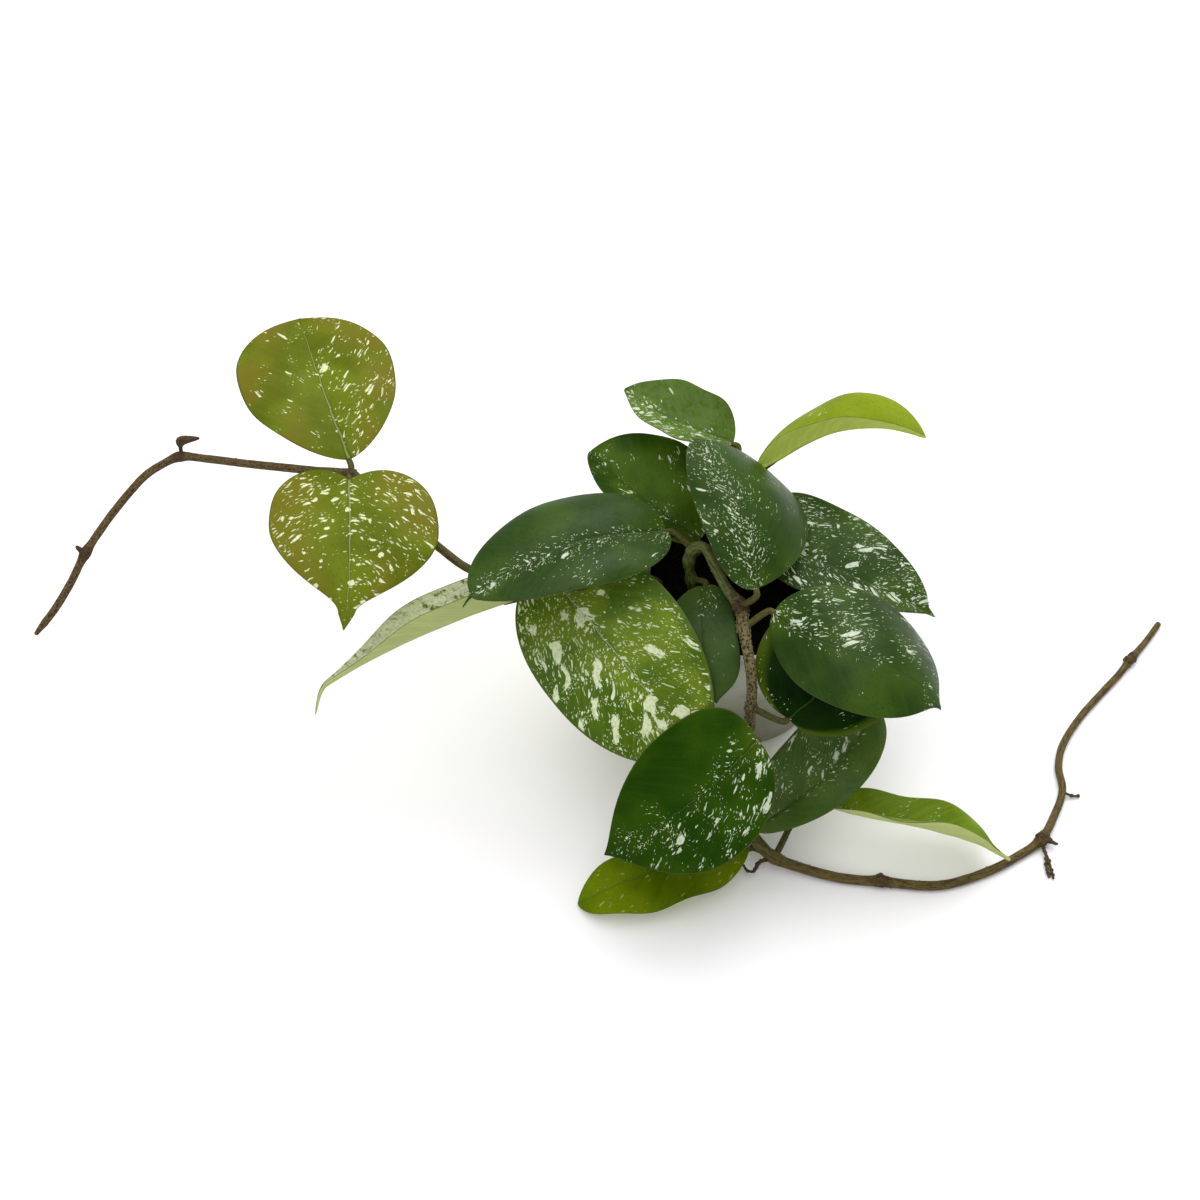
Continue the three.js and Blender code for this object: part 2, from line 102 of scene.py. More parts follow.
def add(tree, kind, inputs=None, **settings):
    """A node of this kind with these settings and inputs."""
    made = tree.nodes.new(kind)
    for setting, value in settings.items():
        setattr(made, setting, value)
    feed(tree, made, inputs or {})
    return made


def value_of(tree, kind, inputs=None, output=0, **settings):
    """What a new node of this kind gives at one of its outputs."""
    return Value(tree, add(tree, kind, inputs, **settings).outputs[output])


def calc(operation, *values):
    """One step of arithmetic on values and numbers."""
    tree = next(value.tree for value in values if isinstance(value, Value))
    return value_of(tree, "ShaderNodeMath", dict(enumerate(values)), operation=operation)


def part(vector, axis):
    """One of the three numbers of a vector."""
    return value_of(vector.tree, "ShaderNodeSeparateXYZ", {0: vector}, axis)


def place_on(tree):
    """Where a point is on its object, in metres."""
    return value_of(tree, "ShaderNodeTexCoord", output="Object")


def noise(vector, scale, detail=2.0, roughness=0.5):
    """A fractal unevenness around 0.5."""
    inputs = {"Vector": vector, "Scale": scale, "Detail": detail, "Roughness": roughness}
    return value_of(vector.tree, "ShaderNodeTexNoise", inputs, "Fac")


def blended(share, first, second):
    """A colour between two, each a value or a red, green, blue triple."""
    first, second = (end if isinstance(end, Value) else (*end, 1) for end in (first, second))
    inputs = {"Factor": share, "A": first, "B": second}
    return value_of(share.tree, "ShaderNodeMix", inputs, "Result", data_type="RGBA")


def new_material(name):
    """A material with one shader, and its tree."""
    material = bpy.data.materials.new(name)
    material.use_nodes = True
    return material, material.node_tree


def finished(material, inputs):
    """The material with these inputs of its shader linked or set."""
    feed(material.node_tree, material.node_tree.nodes["Principled BSDF"], inputs)
    return material


def stand(name, data):
    """A new object of the scene, at its origin."""
    thing = bpy.data.objects.new(name, data)
    bpy.context.scene.collection.objects.link(thing)
    return thing


def new_piece(name, points, faces, material):
    """A smooth mesh object at the origin, with its place in its mesh."""
    mesh = bpy.data.meshes.new(name)
    mesh.from_pydata([tuple(map(float, point)) for point in points], [], faces)
    mesh.shade_smooth()
    mesh.materials.append(material)
    return stand(name, mesh)


def aim(thing, place, target):
    """Puts a camera or lamp at a place, looking at the target with its top upwards."""
    thing.location = place
    look = [float(t) - float(p) for t, p in zip(target, place)]
    turn = math.atan2(look[1], look[0]) - math.pi / 2
    tilt = math.atan2(math.hypot(look[0], look[1]), -look[2])
    thing.rotation_euler = (tilt, 0, turn)


def set_camera():
    """A long lens that looks down on the plant from the front."""
    scene = bpy.context.scene
    scene.view_settings.view_transform = "Standard"
    lens = bpy.data.cameras.new("camera")
    lens.lens = LENS
    lens.sensor_width = SENSOR
    scene.camera = stand("camera", lens)
    height = math.radians(VIEW_ELEVATION)
    back = np.array([0, -math.cos(height), math.sin(height)]) * VIEW_DISTANCE
    aim(scene.camera, tuple(VIEW_TARGET + back), tuple(VIEW_TARGET))


def hang_lamps():
    """Round soft lights that all look at the pot."""
    for name, lamp in LAMPS.items():
        light = bpy.data.lights.new(name, "AREA")
        light.shape = "DISK"
        light.size = lamp["size"]
        light.energy = lamp["watts"]
        aim(stand(name, light), lamp["place"], LAMP_TARGET)


def light_sky():
    """A white sky that is brighter behind the plant than in front of it."""
    world = bpy.data.worlds.new("sky")
    bpy.context.scene.world = world
    world.use_nodes = True
    tree = world.node_tree
    depth = part(value_of(tree, "ShaderNodeTexCoord", output="Generated"), "Y")
    span = dict(zip(("From Min", "From Max", "To Min", "To Max"), (*SKY_SPAN, SKY_FRONT, SKY_BACK)))
    strength = value_of(tree, "ShaderNodeMapRange", {"Value": depth, **span}, "Result")
    feed(tree, tree.nodes["Background"], {"Color": (1, 1, 1, 1), "Strength": strength})


def lay_floor():
    """A wide sheet of matt white paper."""
    paper, tree = new_material("floor_paper")
    white = blended(noise(place_on(tree), FLOOR_GRAIN), *FLOOR_WHITES)
    finished(paper, {"Base Color": white, "Roughness": 0.9, "Specular IOR Level": 0.1})
    half = FLOOR_HALF
    corners = [(-half, -half, 0), (half, -half, 0), (half, half, 0), (-half, half, 0)]
    new_piece("floor", corners, [(0, 1, 2, 3)], paper)


set_camera()
hang_lamps()
light_sky()
lay_floor()


# ---------------------------------------------------------------------------------------------
# The pot: a plain round nursery pot of pale grey plastic, thin in the wall, with a band that stands
# out a little as its rim. It is moulded in one piece and has a flat base. Its grey is painted
# darker towards its foot: painted shade and green bounce light from the leaves over it.
# ---------------------------------------------------------------------------------------------
POT_HEIGHT, POT_TOP_RADIUS, POT_BASE_RADIUS = 104, 50, 43
POT_WALL, RIM_HEIGHT, RIM_STEP = 2.2, 9, 1.4
FOOT_BEND, STEP_BEND, RIM_BEND, LIP_BEND, INNER_BEND = 1.4, 0.9, 1.0, 0.7, 1.5
POT_SEGMENTS, BEND_POINTS = 160, 6
# The foot's greys are painted shade: the shade and green bounce that the leaves cast low on the pot.
SHADED_FOOT_GREYS = (0.2, 0.195, 0.135), (0.26, 0.255, 0.185)
WALL_GREYS = (0.52, 0.52, 0.47), (0.6, 0.6, 0.55)
FOOT_SHADE = (20 * MM, 80 * MM)
POT_STAIN, STAIN_STRENGTH = (0.2, 0.19, 0.14), 0.35
POT_DRAWN = (30, 30, 2.5)
POT_BANDS, POT_DUST, POT_GRAIN = (1.0, 3.0), (90.0, 5.0), (900.0, 2.0)


def ramp(value, low, high, first=0.0, last=1.0):
    """Goes smoothly from first to last while the value goes from low to high."""
    inputs = {"Value": value, "From Min": low, "From Max": high, "To Min": first, "To Max": last}
    return value_of(value.tree, "ShaderNodeMapRange", inputs, "Result", interpolation_type="SMOOTHSTEP")


def stretched(vector, scale):
    """The vector times this scale along each axis."""
    return value_of(vector.tree, "ShaderNodeVectorMath", {0: vector, 1: scale}, operation="MULTIPLY")


def bumps(height, strength, depth):
    """How a skin with this unevenness, so many metres deep, faces the light."""
    inputs = {"Height": height, "Strength": strength, "Distance": depth}
    return value_of(height.tree, "ShaderNodeBump", inputs)


def revolved(profile, segments):
    """Points and faces of an outline turned about Z. It starts and ends on the axis."""
    points = [(0, 0, profile[0][1])]
    for radius, z in profile[1:-1]:
        for k in range(segments):
            angle = 2 * math.pi * k / segments
            points.append((radius * math.cos(angle), radius * math.sin(angle), z))
    points.append((0, 0, profile[-1][1]))
    faces = []
    rings = len(profile) - 2
    last = len(points) - 1
    for k in range(segments):
        after = (k + 1) % segments
        faces.append((0, 1 + after, 1 + k))
        for ring in range(rings - 1):
            low = 1 + ring * segments
            high = low + segments
            faces.append((low + k, low + after, high + after, high + k))
        top = 1 + (rings - 1) * segments
        faces.append((top + k, top + after, last))
    return np.array(points) * MM, faces


def rounded(corner_before, corner, corner_after, radius):
    """An arc-like bend in place of a sharp corner of a profile."""
    corner = np.array(corner, float)
    start = np.array(corner_before, float) - corner
    end = np.array(corner_after, float) - corner
    start = corner + start / np.linalg.norm(start) * radius
    end = corner + end / np.linalg.norm(end) * radius
    share = np.linspace(0, 1, BEND_POINTS)[:, None]
    bend = (1 - share) ** 2 * start + 2 * share * (1 - share) * corner + share**2 * end
    return [tuple(place) for place in bend]


def wall_radius(z):
    """The outer radius of the pot's wall at this height, without the rim."""
    return POT_BASE_RADIUS + (POT_TOP_RADIUS - RIM_STEP - POT_BASE_RADIUS) * z / POT_HEIGHT


def pot_profile():
    """The outline of the pot from the middle of its underside, over the rim, to that of its floor."""
    rim_foot = POT_HEIGHT - RIM_HEIGHT
    corners = [
        ((0, 0), 0),
        ((POT_BASE_RADIUS, 0), FOOT_BEND),
        ((wall_radius(rim_foot), rim_foot), STEP_BEND),
        ((POT_TOP_RADIUS, rim_foot + RIM_STEP), STEP_BEND),
        ((POT_TOP_RADIUS, POT_HEIGHT), RIM_BEND),
        ((POT_TOP_RADIUS - POT_WALL, POT_HEIGHT), LIP_BEND),
        ((wall_radius(rim_foot) - POT_WALL, rim_foot - 1), INNER_BEND),
        ((POT_BASE_RADIUS - POT_WALL, POT_WALL), FOOT_BEND),
        ((0, POT_WALL), 0),
    ]
    profile = [corners[0][0]]
    for before, here, after in zip(corners, corners[1:], corners[2:]):
        profile += rounded(before[0], here[0], after[0], here[1])
    return profile + [corners[-1][0]]


def pot_material():
    """Pale plastic with soft upright bands, patches of dust, and a foot painted darker as shade."""
    material, tree = new_material("pot_plastic")
    place = place_on(tree)
    bands = noise(stretched(place, POT_DRAWN), *POT_BANDS)
    dust = noise(place, *POT_DUST)
    # Painted shade: the grey goes darker towards the foot, between the heights in FOOT_SHADE.
    rise = ramp(part(place, "Z"), *FOOT_SHADE)
    plain, pale = (blended(rise, foot, wall) for foot, wall in zip(SHADED_FOOT_GREYS, WALL_GREYS))
    grey = blended(ramp(bands, 0.3, 0.7), plain, pale)
    inputs = {
        "Base Color": blended(ramp(dust, 0.5, 0.75, 0, STAIN_STRENGTH), grey, POT_STAIN),
        "Roughness": dust * 0.25 + 0.28,
        "Normal": bumps(noise(place, *POT_GRAIN), 0.08, 0.2 * MM),
        "Subsurface Weight": 0.08,
        "Subsurface Scale": 2 * MM,
    }
    return finished(material, inputs)


pot = new_piece("pot_shell", *revolved(pot_profile(), POT_SEGMENTS), pot_material())
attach(pot, "root")
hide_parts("pot")


# ---------------------------------------------------------------------------------------------
# The soil: near-black potting mix of peat and bark crumbs, poured into the pot to a finger's width
# below the rim and pressed down round the stems. Loose crumbs lie all over its top. Its near-black
# is partly painted shade, from the leaves that cover the pot.
# ---------------------------------------------------------------------------------------------
SOIL_LEVEL, SOIL_GAP, SOIL_BEVEL = 92, 0.3, 1.5
SOIL_RINGS, SOIL_SEGMENTS = 60, 120
MOUND_HEIGHT, MOUND_SPREAD = 1.4, 16
EDGE_DIP, EDGE_START, EDGE_WIDTH = 0.8, 30, 15
SOIL_WAVES = [{"height": 0.5, "seed": 3, "scale": 0.25}, {"height": 0.3, "seed": 4, "scale": 0.9}]
WAVES, WAVE_STRETCH = 7, (0.6, 1.8)
# PEAT is near-black: the peat's own dark colour with painted shade from the leaves over the pot.
PEAT = (0.0015, 0.0012, 0.001), (0.007, 0.005, 0.0035)
FIBRE = (0.02, 0.014, 0.009)
PEAT_LUMPS, PEAT_GRAIN = (260.0, 6.0), (1100.0, 2.0)
CRUMB_DENSITY = 260_000
CRUMB_SIZES = (0.5, 1.9)
CRUMB_SEED = 7
CRUMB_SIZE_SEED, CRUMB_FINENESS = 1, 1
CRUMB_SHAPE, CRUMB_RARITY, CRUMB_SLOPE = (1, 0.75, 0.6), 3.0, 0.7
SCATTER_INPUTS = {"Density": "Float", "Smallest": "Float", "Largest": "Float", "Seed": "Int"}


def waves(x, y, seed, scale):
    """A smooth, seeded unevenness between about -1 and 1."""
    rng = np.random.default_rng(seed)
    total = np.zeros_like(x)
    for _ in range(WAVES):
        turn = rng.uniform(0, 2 * math.pi)
        stretch = rng.uniform(*WAVE_STRETCH)
        start = rng.uniform(0, 2 * math.pi)
        total += np.sin((x * math.cos(turn) + y * math.sin(turn)) * stretch * scale + start)
    return total / (WAVES / 2)


def soil_mesh():
    """A closed body: an uneven top of many rings, and a plain side and foot."""
    inner = wall_radius(SOIL_LEVEL) - POT_WALL - SOIL_GAP
    foot = POT_WALL + SOIL_GAP
    low = POT_BASE_RADIUS - POT_WALL - SOIL_GAP
    profile = [(0, foot), (low - SOIL_BEVEL, foot), (low, foot + SOIL_BEVEL)]
    profile += [(inner * k / SOIL_RINGS, SOIL_LEVEL) for k in range(SOIL_RINGS, 0, -1)]
    points, faces = revolved(profile + [(0, SOIL_LEVEL)], SOIL_SEGMENTS)
    top = points[:, 2] > (SOIL_LEVEL - 1) * MM
    x, y = points[top, 0] / MM, points[top, 1] / MM
    radius = np.hypot(x, y)
    mound = MOUND_HEIGHT * np.exp(-((radius / MOUND_SPREAD) ** 2))
    dip = EDGE_DIP * np.clip((radius - EDGE_START) / EDGE_WIDTH, 0, 1)
    rough = sum(wave["height"] * waves(x, y, wave["seed"], wave["scale"]) for wave in SOIL_WAVES)
    points[top, 2] += (mound - dip + rough) * MM
    return points, faces


def soil_material():
    """Matt black peat, partly painted shade, with paler fibres here and there."""
    material, tree = new_material("potting_mix")
    place = place_on(tree)
    patch = noise(place, *PEAT_GRAIN)
    dark = blended(noise(place, *PEAT_LUMPS), *PEAT)
    inputs = {
        "Base Color": blended(ramp(patch, 0.66, 0.74), dark, FIBRE),
        "Roughness": 0.95,
        "Specular IOR Level": 0.05,
        "Normal": bumps(patch, 0.8, 0.6 * MM),
    }
    return finished(material, inputs)


def new_tree(name, sockets):
    """A tree of geometry nodes, and what it is given: its geometry, its finish and these inputs."""
    tree = bpy.data.node_groups.new(name, "GeometryNodeTree")
    tree.interface.new_socket(name="Geometry", in_out="OUTPUT", socket_type="NodeSocketGeometry")
    for title, kind in {"Geometry": "Geometry", **sockets, "Finish": "Material"}.items():
        tree.interface.new_socket(name=title, in_out="INPUT", socket_type="NodeSocket" + kind)
    given = add(tree, "NodeGroupInput").outputs
    return tree, {socket.name: Value(tree, socket) for socket in given if socket.name}


def ended(tree, given, geometry):
    """The tree, which now gives this geometry as real mesh with its finish."""
    real = value_of(tree, "GeometryNodeRealizeInstances", {"Geometry": geometry})
    done = value_of(tree, "GeometryNodeSetMaterial", {"Geometry": real, "Material": given["Finish"]})
    add(tree, "NodeGroupOutput", {"Geometry": done})
    return tree


def grown(piece, tree, **values):
    """The piece with the mesh that this tree makes of it. The tree is run once and then taken off."""
    modifier = piece.modifiers.new(tree.name, "NODES")
    modifier.node_group = tree
    for socket in tree.interface.items_tree:
        if socket.in_out == "INPUT" and socket.name in values:
            modifier[socket.identifier] = values[socket.name]
    seen = piece.evaluated_get(bpy.context.evaluated_depsgraph_get())
    mesh = bpy.data.meshes.new_from_object(seen)
    piece.modifiers.clear()
    old = piece.data
    piece.data = mesh
    bpy.data.meshes.remove(old)
    mesh.name = piece.name
    return piece


def spread_over(given, density, slope):
    """Points strewn over the faces whose normals rise by more than this, and their turns."""
    tree = density.tree
    facing = part(value_of(tree, "GeometryNodeInputNormal"), "Z")
    chosen = {0: facing, 1: slope}
    upper = value_of(tree, "FunctionNodeCompare", chosen, data_type="FLOAT", operation="GREATER_THAN")
    inputs = {"Mesh": given["Geometry"], "Selection": upper, "Density": density, "Seed": given["Seed"]}
    strewn = add(tree, "GeometryNodeDistributePointsOnFaces", inputs).outputs
    return Value(tree, strewn["Points"]), Value(tree, strewn["Rotation"])


def chance_size(given, seed, rarity):
    """A size between the smallest and the largest. The higher the rarity, the fewer are large."""
    tree = given["Seed"].tree
    chance = value_of(tree, "FunctionNodeRandomValue", {"Seed": seed}, "Value", data_type="FLOAT")
    return chance**rarity * (given["Largest"] - given["Smallest"]) + given["Smallest"]


def lump(tree, subdivisions, shape):
    """A ball a metre wide, flattened to this shape, for its points to scale down."""
    inputs = {"Radius": 0.5, "Subdivisions": subdivisions}
    ball = value_of(tree, "GeometryNodeMeshIcoSphere", inputs, "Mesh")
    return value_of(tree, "GeometryNodeTransform", {"Geometry": ball, "Scale": shape})


def with_lumps(given, points, lumps, turn, size):
    """The given body and a lump at each of the points."""
    tree = size.tree
    inputs = {"Points": points, "Instance": lumps, "Rotation": turn, "Scale": size}
    both = add(tree, "GeometryNodeJoinGeometry")
    feed(tree, both, {0: given["Geometry"]})
    feed(tree, both, {0: value_of(tree, "GeometryNodeInstanceOnPoints", inputs)})
    return Value(tree, both.outputs[0])


def crumb_tree():
    """Scatters flattened crumbs, turned any way, over the faces that look up."""
    tree, given = new_tree("crumbs", SCATTER_INPUTS)
    points, _ = spread_over(given, given["Density"], CRUMB_SLOPE)
    full_turn = {"Max": (2 * math.pi,) * 3}
    turn = value_of(tree, "FunctionNodeRandomValue", full_turn, "Value", data_type="FLOAT_VECTOR")
    size = chance_size(given, CRUMB_SIZE_SEED, CRUMB_RARITY)
    crumb = lump(tree, CRUMB_FINENESS, CRUMB_SHAPE)
    return ended(tree, given, with_lumps(given, points, crumb, turn, size))


earth = soil_material()
soil = new_piece("soil_fill", *soil_mesh(), earth)
smallest, largest = (size * MM for size in CRUMB_SIZES)
crumbs = {"Density": CRUMB_DENSITY, "Smallest": smallest, "Largest": largest, "Seed": CRUMB_SEED}
grown(soil, crumb_tree(), Finish=earth, **crumbs)
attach(soil, "root")
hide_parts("soil")


# ---------------------------------------------------------------------------------------------
# The vines: three woody stems that grow out of the soil. The old one is grey-brown and warty and
# trails over the rim to the floor, the long one to the left is a smooth olive brown, and a short
# one stands at the back. Bracts, a leaflet, aerial roots and a dry tendril grow at their nodes.
# ---------------------------------------------------------------------------------------------
# Each place of a path is x, y, z and the radius there. The ages are shares of the vine's length and
# how old its skin looks there, and warts are counted for a square metre of the oldest skin.
VINES = {
    "vine_trailing": {
        "slot": "bark",
        "path": [
            [-24, -5, 66, 2.5], [-24, -5, 84, 2.5], [-25.5, -3.5, 100, 2.5], [-27, -0.5, 113, 2.4],
            [-25, 1.5, 120.5, 2.4], [-20, 1, 122.5, 2.4], [-15.5, -7, 120.5, 2.4], [-9, -19, 117, 2.6],
            [-3, -27, 114, 3.1], [-1.5, -37.5, 112, 2.7], [0, -47, 110.5, 2.6], [1.5, -56.5, 107, 2.6],
            [2.5, -63.5, 97, 2.6], [2.5, -66, 85, 2.6], [2, -68.5, 71, 2.5], [2, -72, 54, 2.5],
            [2, -83, 32, 2.5], [5, -100, 13.5, 2.6], [16.5, -109, 7.5, 2.8], [29, -113, 4.4, 2.6],
            [49, -118, 2.9, 2.5], [69, -120, 2.7, 2.5], [98, -122, 2.6, 2.4], [121, -115, 2.6, 2.3],
            [137, -106.5, 2.5, 2.2], [150, -97, 2.6, 2.2], [158, -83, 2.3, 2], [163, -69, 2.2, 1.9],
            [162, -56, 2.2, 1.9], [165, -44, 2.3, 1.9], [175, -28, 2.1, 1.8], [187, -14, 2.1, 1.8],
            [197, -3, 2.1, 1.8], [204, 6, 2.2, 1.8], [213, 17, 2, 1.6], [221, 28, 2, 1.5],
        ],
        "nodes": {
            "foot": 2, "arch": 3, "bend": 4, "knot": 8, "crossing": 9, "front": 13,
            "low": 14, "floor": 18, "run": 21, "bract": 25, "far": 33,
        },
        "red_nodes": ["knot", "run", "bract", "far"],
        "growths": [
            [[150, -97, 2.6, 1.6], [154, -98, 3.4, 1.3], [158, -100, 3.2, 0.6]],
            [[150, -98, 2.6, 0.8], [152, -105, 2, 0.8], [154, -112, 1.2, 0.7], [155, -118, 0.9, 0.6]],
            [[152, -106, 2, 0.6], [152, -113, 1.2, 0.6], [153, -117, 0.9, 0.6]],
            [[163, -70, 2.2, 0.7], [167, -72, 1.6, 0.6], [171, -72, 1, 0.6]],
            [
                [16.5, -109, 7.5, 1], [9, -111, 6, 0.9], [6, -115, 4, 0.8],
                [3, -114, 3, 0.7], [1, -111, 4, 0.6],
            ],
        ],
        "ages": ([0, 0.14, 0.2, 0.24, 0.36, 0.46, 0.52, 1], [0.05, 0.1, 0.35, 1, 1, 0.6, 0.2, 0.1]),
        "warts": 420_000,
    },
    "vine_left": {
        "slot": "vine",
        "path": [
            [-42, -4, 68, 2.1], [-42, -4, 86, 2.1], [-42, -6, 101, 2.1], [-50, -8, 109, 2.1],
            [-66, -12, 110, 2.1], [-82, -13.5, 110, 2.1], [-97, -13, 109, 2.2], [-109, -12, 110, 2.1],
            [-121, -10, 113, 2.1], [-134, -7, 117, 2.1], [-148, 2, 122, 2.1], [-166, 17, 128, 2.1],
            [-181, 28, 133, 2.1], [-190, 34, 135.5, 2.2], [-210, 37, 135, 2.1], [-240, 42, 133, 2],
            [-262, 47, 130, 2], [-275, 50, 127, 2], [-284, 48, 123, 2], [-292, 44.5, 119, 2],
            [-300, 38, 114, 2], [-311, 27, 106, 2], [-322, 12.5, 98, 2], [-330, 1, 88, 2],
            [-338, -7, 78, 2], [-344, -12, 72, 1.9], [-349, -16, 67, 1],
        ],
        "nodes": {"pair": 6, "heart": 13, "leaflet": 17, "bract": 22},
        "red_nodes": ["heart", "leaflet", "bract"],
        "growths": [
            [
                [-274, 50, 127, 1], [-274, 52, 132, 1], [-273.5, 53, 136, 2.4],
                [-269, 53, 138, 1.8], [-264, 53, 139, 0.6],
            ],
            [[-322, 12.5, 98, 1.4], [-325, 14, 100, 1.3], [-326.5, 15, 101, 0.6]],
        ],
        "ages": ([0, 0.4, 0.6, 1], [0.1, 0.2, 0.45, 0.7]),
        "warts": 40_000,
    },
    "vine_back": {
        "slot": "vine",
        "path": [
            [2, 10, 68, 2.4], [2, 10, 86, 2.4], [6, 13, 102, 2.4], [7, 19, 113, 2.4],
            [4, 27, 118, 2.3], [0, 36, 120, 2.2], [-4, 45, 123, 1.6],
        ],
        "nodes": {"side": 3, "crown": 5, "end": 6},
        "red_nodes": ["crown"],
        "growths": [],
        "ages": ([0, 1], [0.1, 0.1]),
        "warts": 20_000,
    },
}
NODE_SWELLING, NODE_LENGTH = 0.8, 3.6
STEM_STEP, GROWTH_STEP = 0.7, 0.35
GROWTH_REDNESS, GROWTH_AGE = 0.6, 0.7
FLOOR_CLEARANCE = 1.12
STEM_SIDES, STEM_RELIEF = 28, 0.16
BARK_RIDGE, BARK_LUMP = (900.0, 3.0), (160.0, 1.0)
BARK_STREAK, BARK_SPECKLE, BARK_TONE = (1500.0, 4.0), (1000.0, 4.0, 0.6), (60.0, 2.0)
RIDGE_DRAWN, STREAK_DRAWN = (0.35, 1, 1), (0.16, 1, 1)
LUMP_SHARE, MEAN_RELIEF, NODE_RELIEF = 1.6, 1.3, 2.5
WART_SIZES, WART_SHAPE, WART_RARITY, WART_SLOPE = (0.25, 1.3), (1, 0.75, 0.7), 2.0, -0.2
WARTS_AT_NODES, NODE_WART_SIZE = 1.5, 1.4
WART_SEED, WART_SIZE_SEED, WART_FINENESS = 3, 5, 2
DRYING = (160 * MM, 280 * MM)
NODE_BLUSH = (0.045, 0.024, 0.013)
BARK_SKINS = {
    "bark": {
        "name": "old_bark", "young": (0.11, 0.155, 0.035), "dry": (0.125, 0.09, 0.022),
        "old": (0.135, 0.108, 0.05), "blush": NODE_BLUSH, "roughening": 0.5,
    },
    "vine": {
        "name": "young_bark", "young": (0.07, 0.065, 0.013), "dry": (0.09, 0.066, 0.026),
        "old": (0.13, 0.085, 0.035), "blush": NODE_BLUSH, "roughening": 0.3,
    },
}


def smooth_path(places, step):
    """The places joined by a centripetal curve, one row for each step: x, y, z, radius, share."""
    places = np.array(places, float)
    ends = 2 * places[[0, -1]] - places[[1, -2]]
    knots = np.vstack([ends[0], places, ends[1]])
    rows = []
    for k in range(len(places) - 1):
        p = knots[k : k + 4, :3]
        gap = np.sqrt(np.linalg.norm(np.diff(p, axis=0), axis=1))
        gap = np.maximum(gap, 1e-4)
        slope = np.diff(p, axis=0) / gap[:, None]
        leave = (slope[0] - (p[2] - p[0]) / (gap[0] + gap[1]) + slope[1]) * gap[1]
        arrive = (slope[1] - (p[3] - p[1]) / (gap[1] + gap[2]) + slope[2]) * gap[1]
        count = max(2, round(np.linalg.norm(p[2] - p[1]) / step))
        for u in np.arange(count) / count:
            bend = p[1] + leave * u
            bend = bend + (3 * (p[2] - p[1]) - 2 * leave - arrive) * u**2
            bend = bend + (2 * (p[1] - p[2]) + leave + arrive) * u**3
            radius = places[k, 3] + (places[k + 1, 3] - places[k, 3]) * u
            rows.append((*bend, radius, (k + u) / (len(places) - 1)))
    rows.append((*places[-1], 1.0))
    return np.array(rows)


def nearness(rows, nodes):
    """How near each row is to one of these nodes: 1 at a node, 0 far from all."""
    near = np.zeros(len(rows))
    for node in nodes:
        far = np.linalg.norm(rows[:, :3] - node, axis=1)
        near = np.maximum(near, np.exp(-((far / NODE_LENGTH) ** 2)))
    return near


def with_round_tip(rows):
    """The rows of a stem, thinned towards the last one as on a ball."""
    left = np.linalg.norm(rows[:, :3] - rows[-1, :3], axis=1)
    radius = rows[-1, 3]
    tip = left < radius
    rows[tip, 3] *= np.sqrt(np.clip(1 - (1 - left[tip] / radius) ** 2, 0.01, 1))
    return rows


def off_floor(rows):
    """The rows of a stem, raised where it would reach into the floor."""
    rows[:, 2] = np.maximum(rows[:, 2], FLOOR_CLEARANCE * rows[:, 3])
    return rows


def vine_strands(vine):
    """The vine and what grows on it, each as its rows, how red they are and how old they look."""
    places = {node: np.array(vine["path"][k][:3]) for node, k in vine["nodes"].items()}
    rows = smooth_path(vine["path"], STEM_STEP)
    redness = nearness(rows, [places[node] for node in vine["red_nodes"]])
    rows[:, 3] += NODE_SWELLING * nearness(rows, places.values())
    strands = [(off_floor(with_round_tip(rows)), redness, np.interp(rows[:, 4], *vine["ages"]))]
    for growth in vine["growths"]:
        rows = off_floor(with_round_tip(smooth_path(growth, GROWTH_STEP)))
        count = len(rows)
        strands.append((rows, np.full(count, GROWTH_REDNESS), np.full(count, GROWTH_AGE)))
    return strands


def store(mesh, title, values):
    """Keeps one number for each point of a mesh."""
    mesh.attributes.new(title, "FLOAT", "POINT").data.foreach_set("value", values.astype(np.float32))


def path_piece(name, strands):
    """A mesh of bare lines, one for each strand, that carries what the stem tree reads."""
    mesh = bpy.data.meshes.new(name)
    points = np.vstack([rows[:, :3] for rows, _, _ in strands]) * MM
    edges = []
    start = 0
    for rows, _, _ in strands:
        edges += [(start + k, start + k + 1) for k in range(len(rows) - 1)]
        start += len(rows)
    mesh.from_pydata([tuple(map(float, point)) for point in points], edges, [])
    store(mesh, "girth", np.concatenate([rows[:, 3] * MM for rows, _, _ in strands]))
    store(mesh, "node", np.concatenate([redness for _, redness, _ in strands]))
    store(mesh, "age", np.concatenate([age for _, _, age in strands]))
    return stand(name, mesh)


def combined(x, y, z):
    """A vector of three values or numbers."""
    return value_of(x.tree, "ShaderNodeCombineXYZ", {0: x, 1: y, 2: z})


def read(tree, title, kind="FLOAT"):
    """A named attribute, in a tree of geometry nodes."""
    return value_of(tree, "GeometryNodeInputNamedAttribute", {"Name": title}, data_type=kind)


def stored(geometry, title, value, kind="FLOAT"):
    """The geometry with this value kept as a named attribute."""
    inputs = {"Geometry": geometry, "Name": title, "Value": value}
    return value_of(geometry.tree, "GeometryNodeStoreNamedAttribute", inputs, data_type=kind)


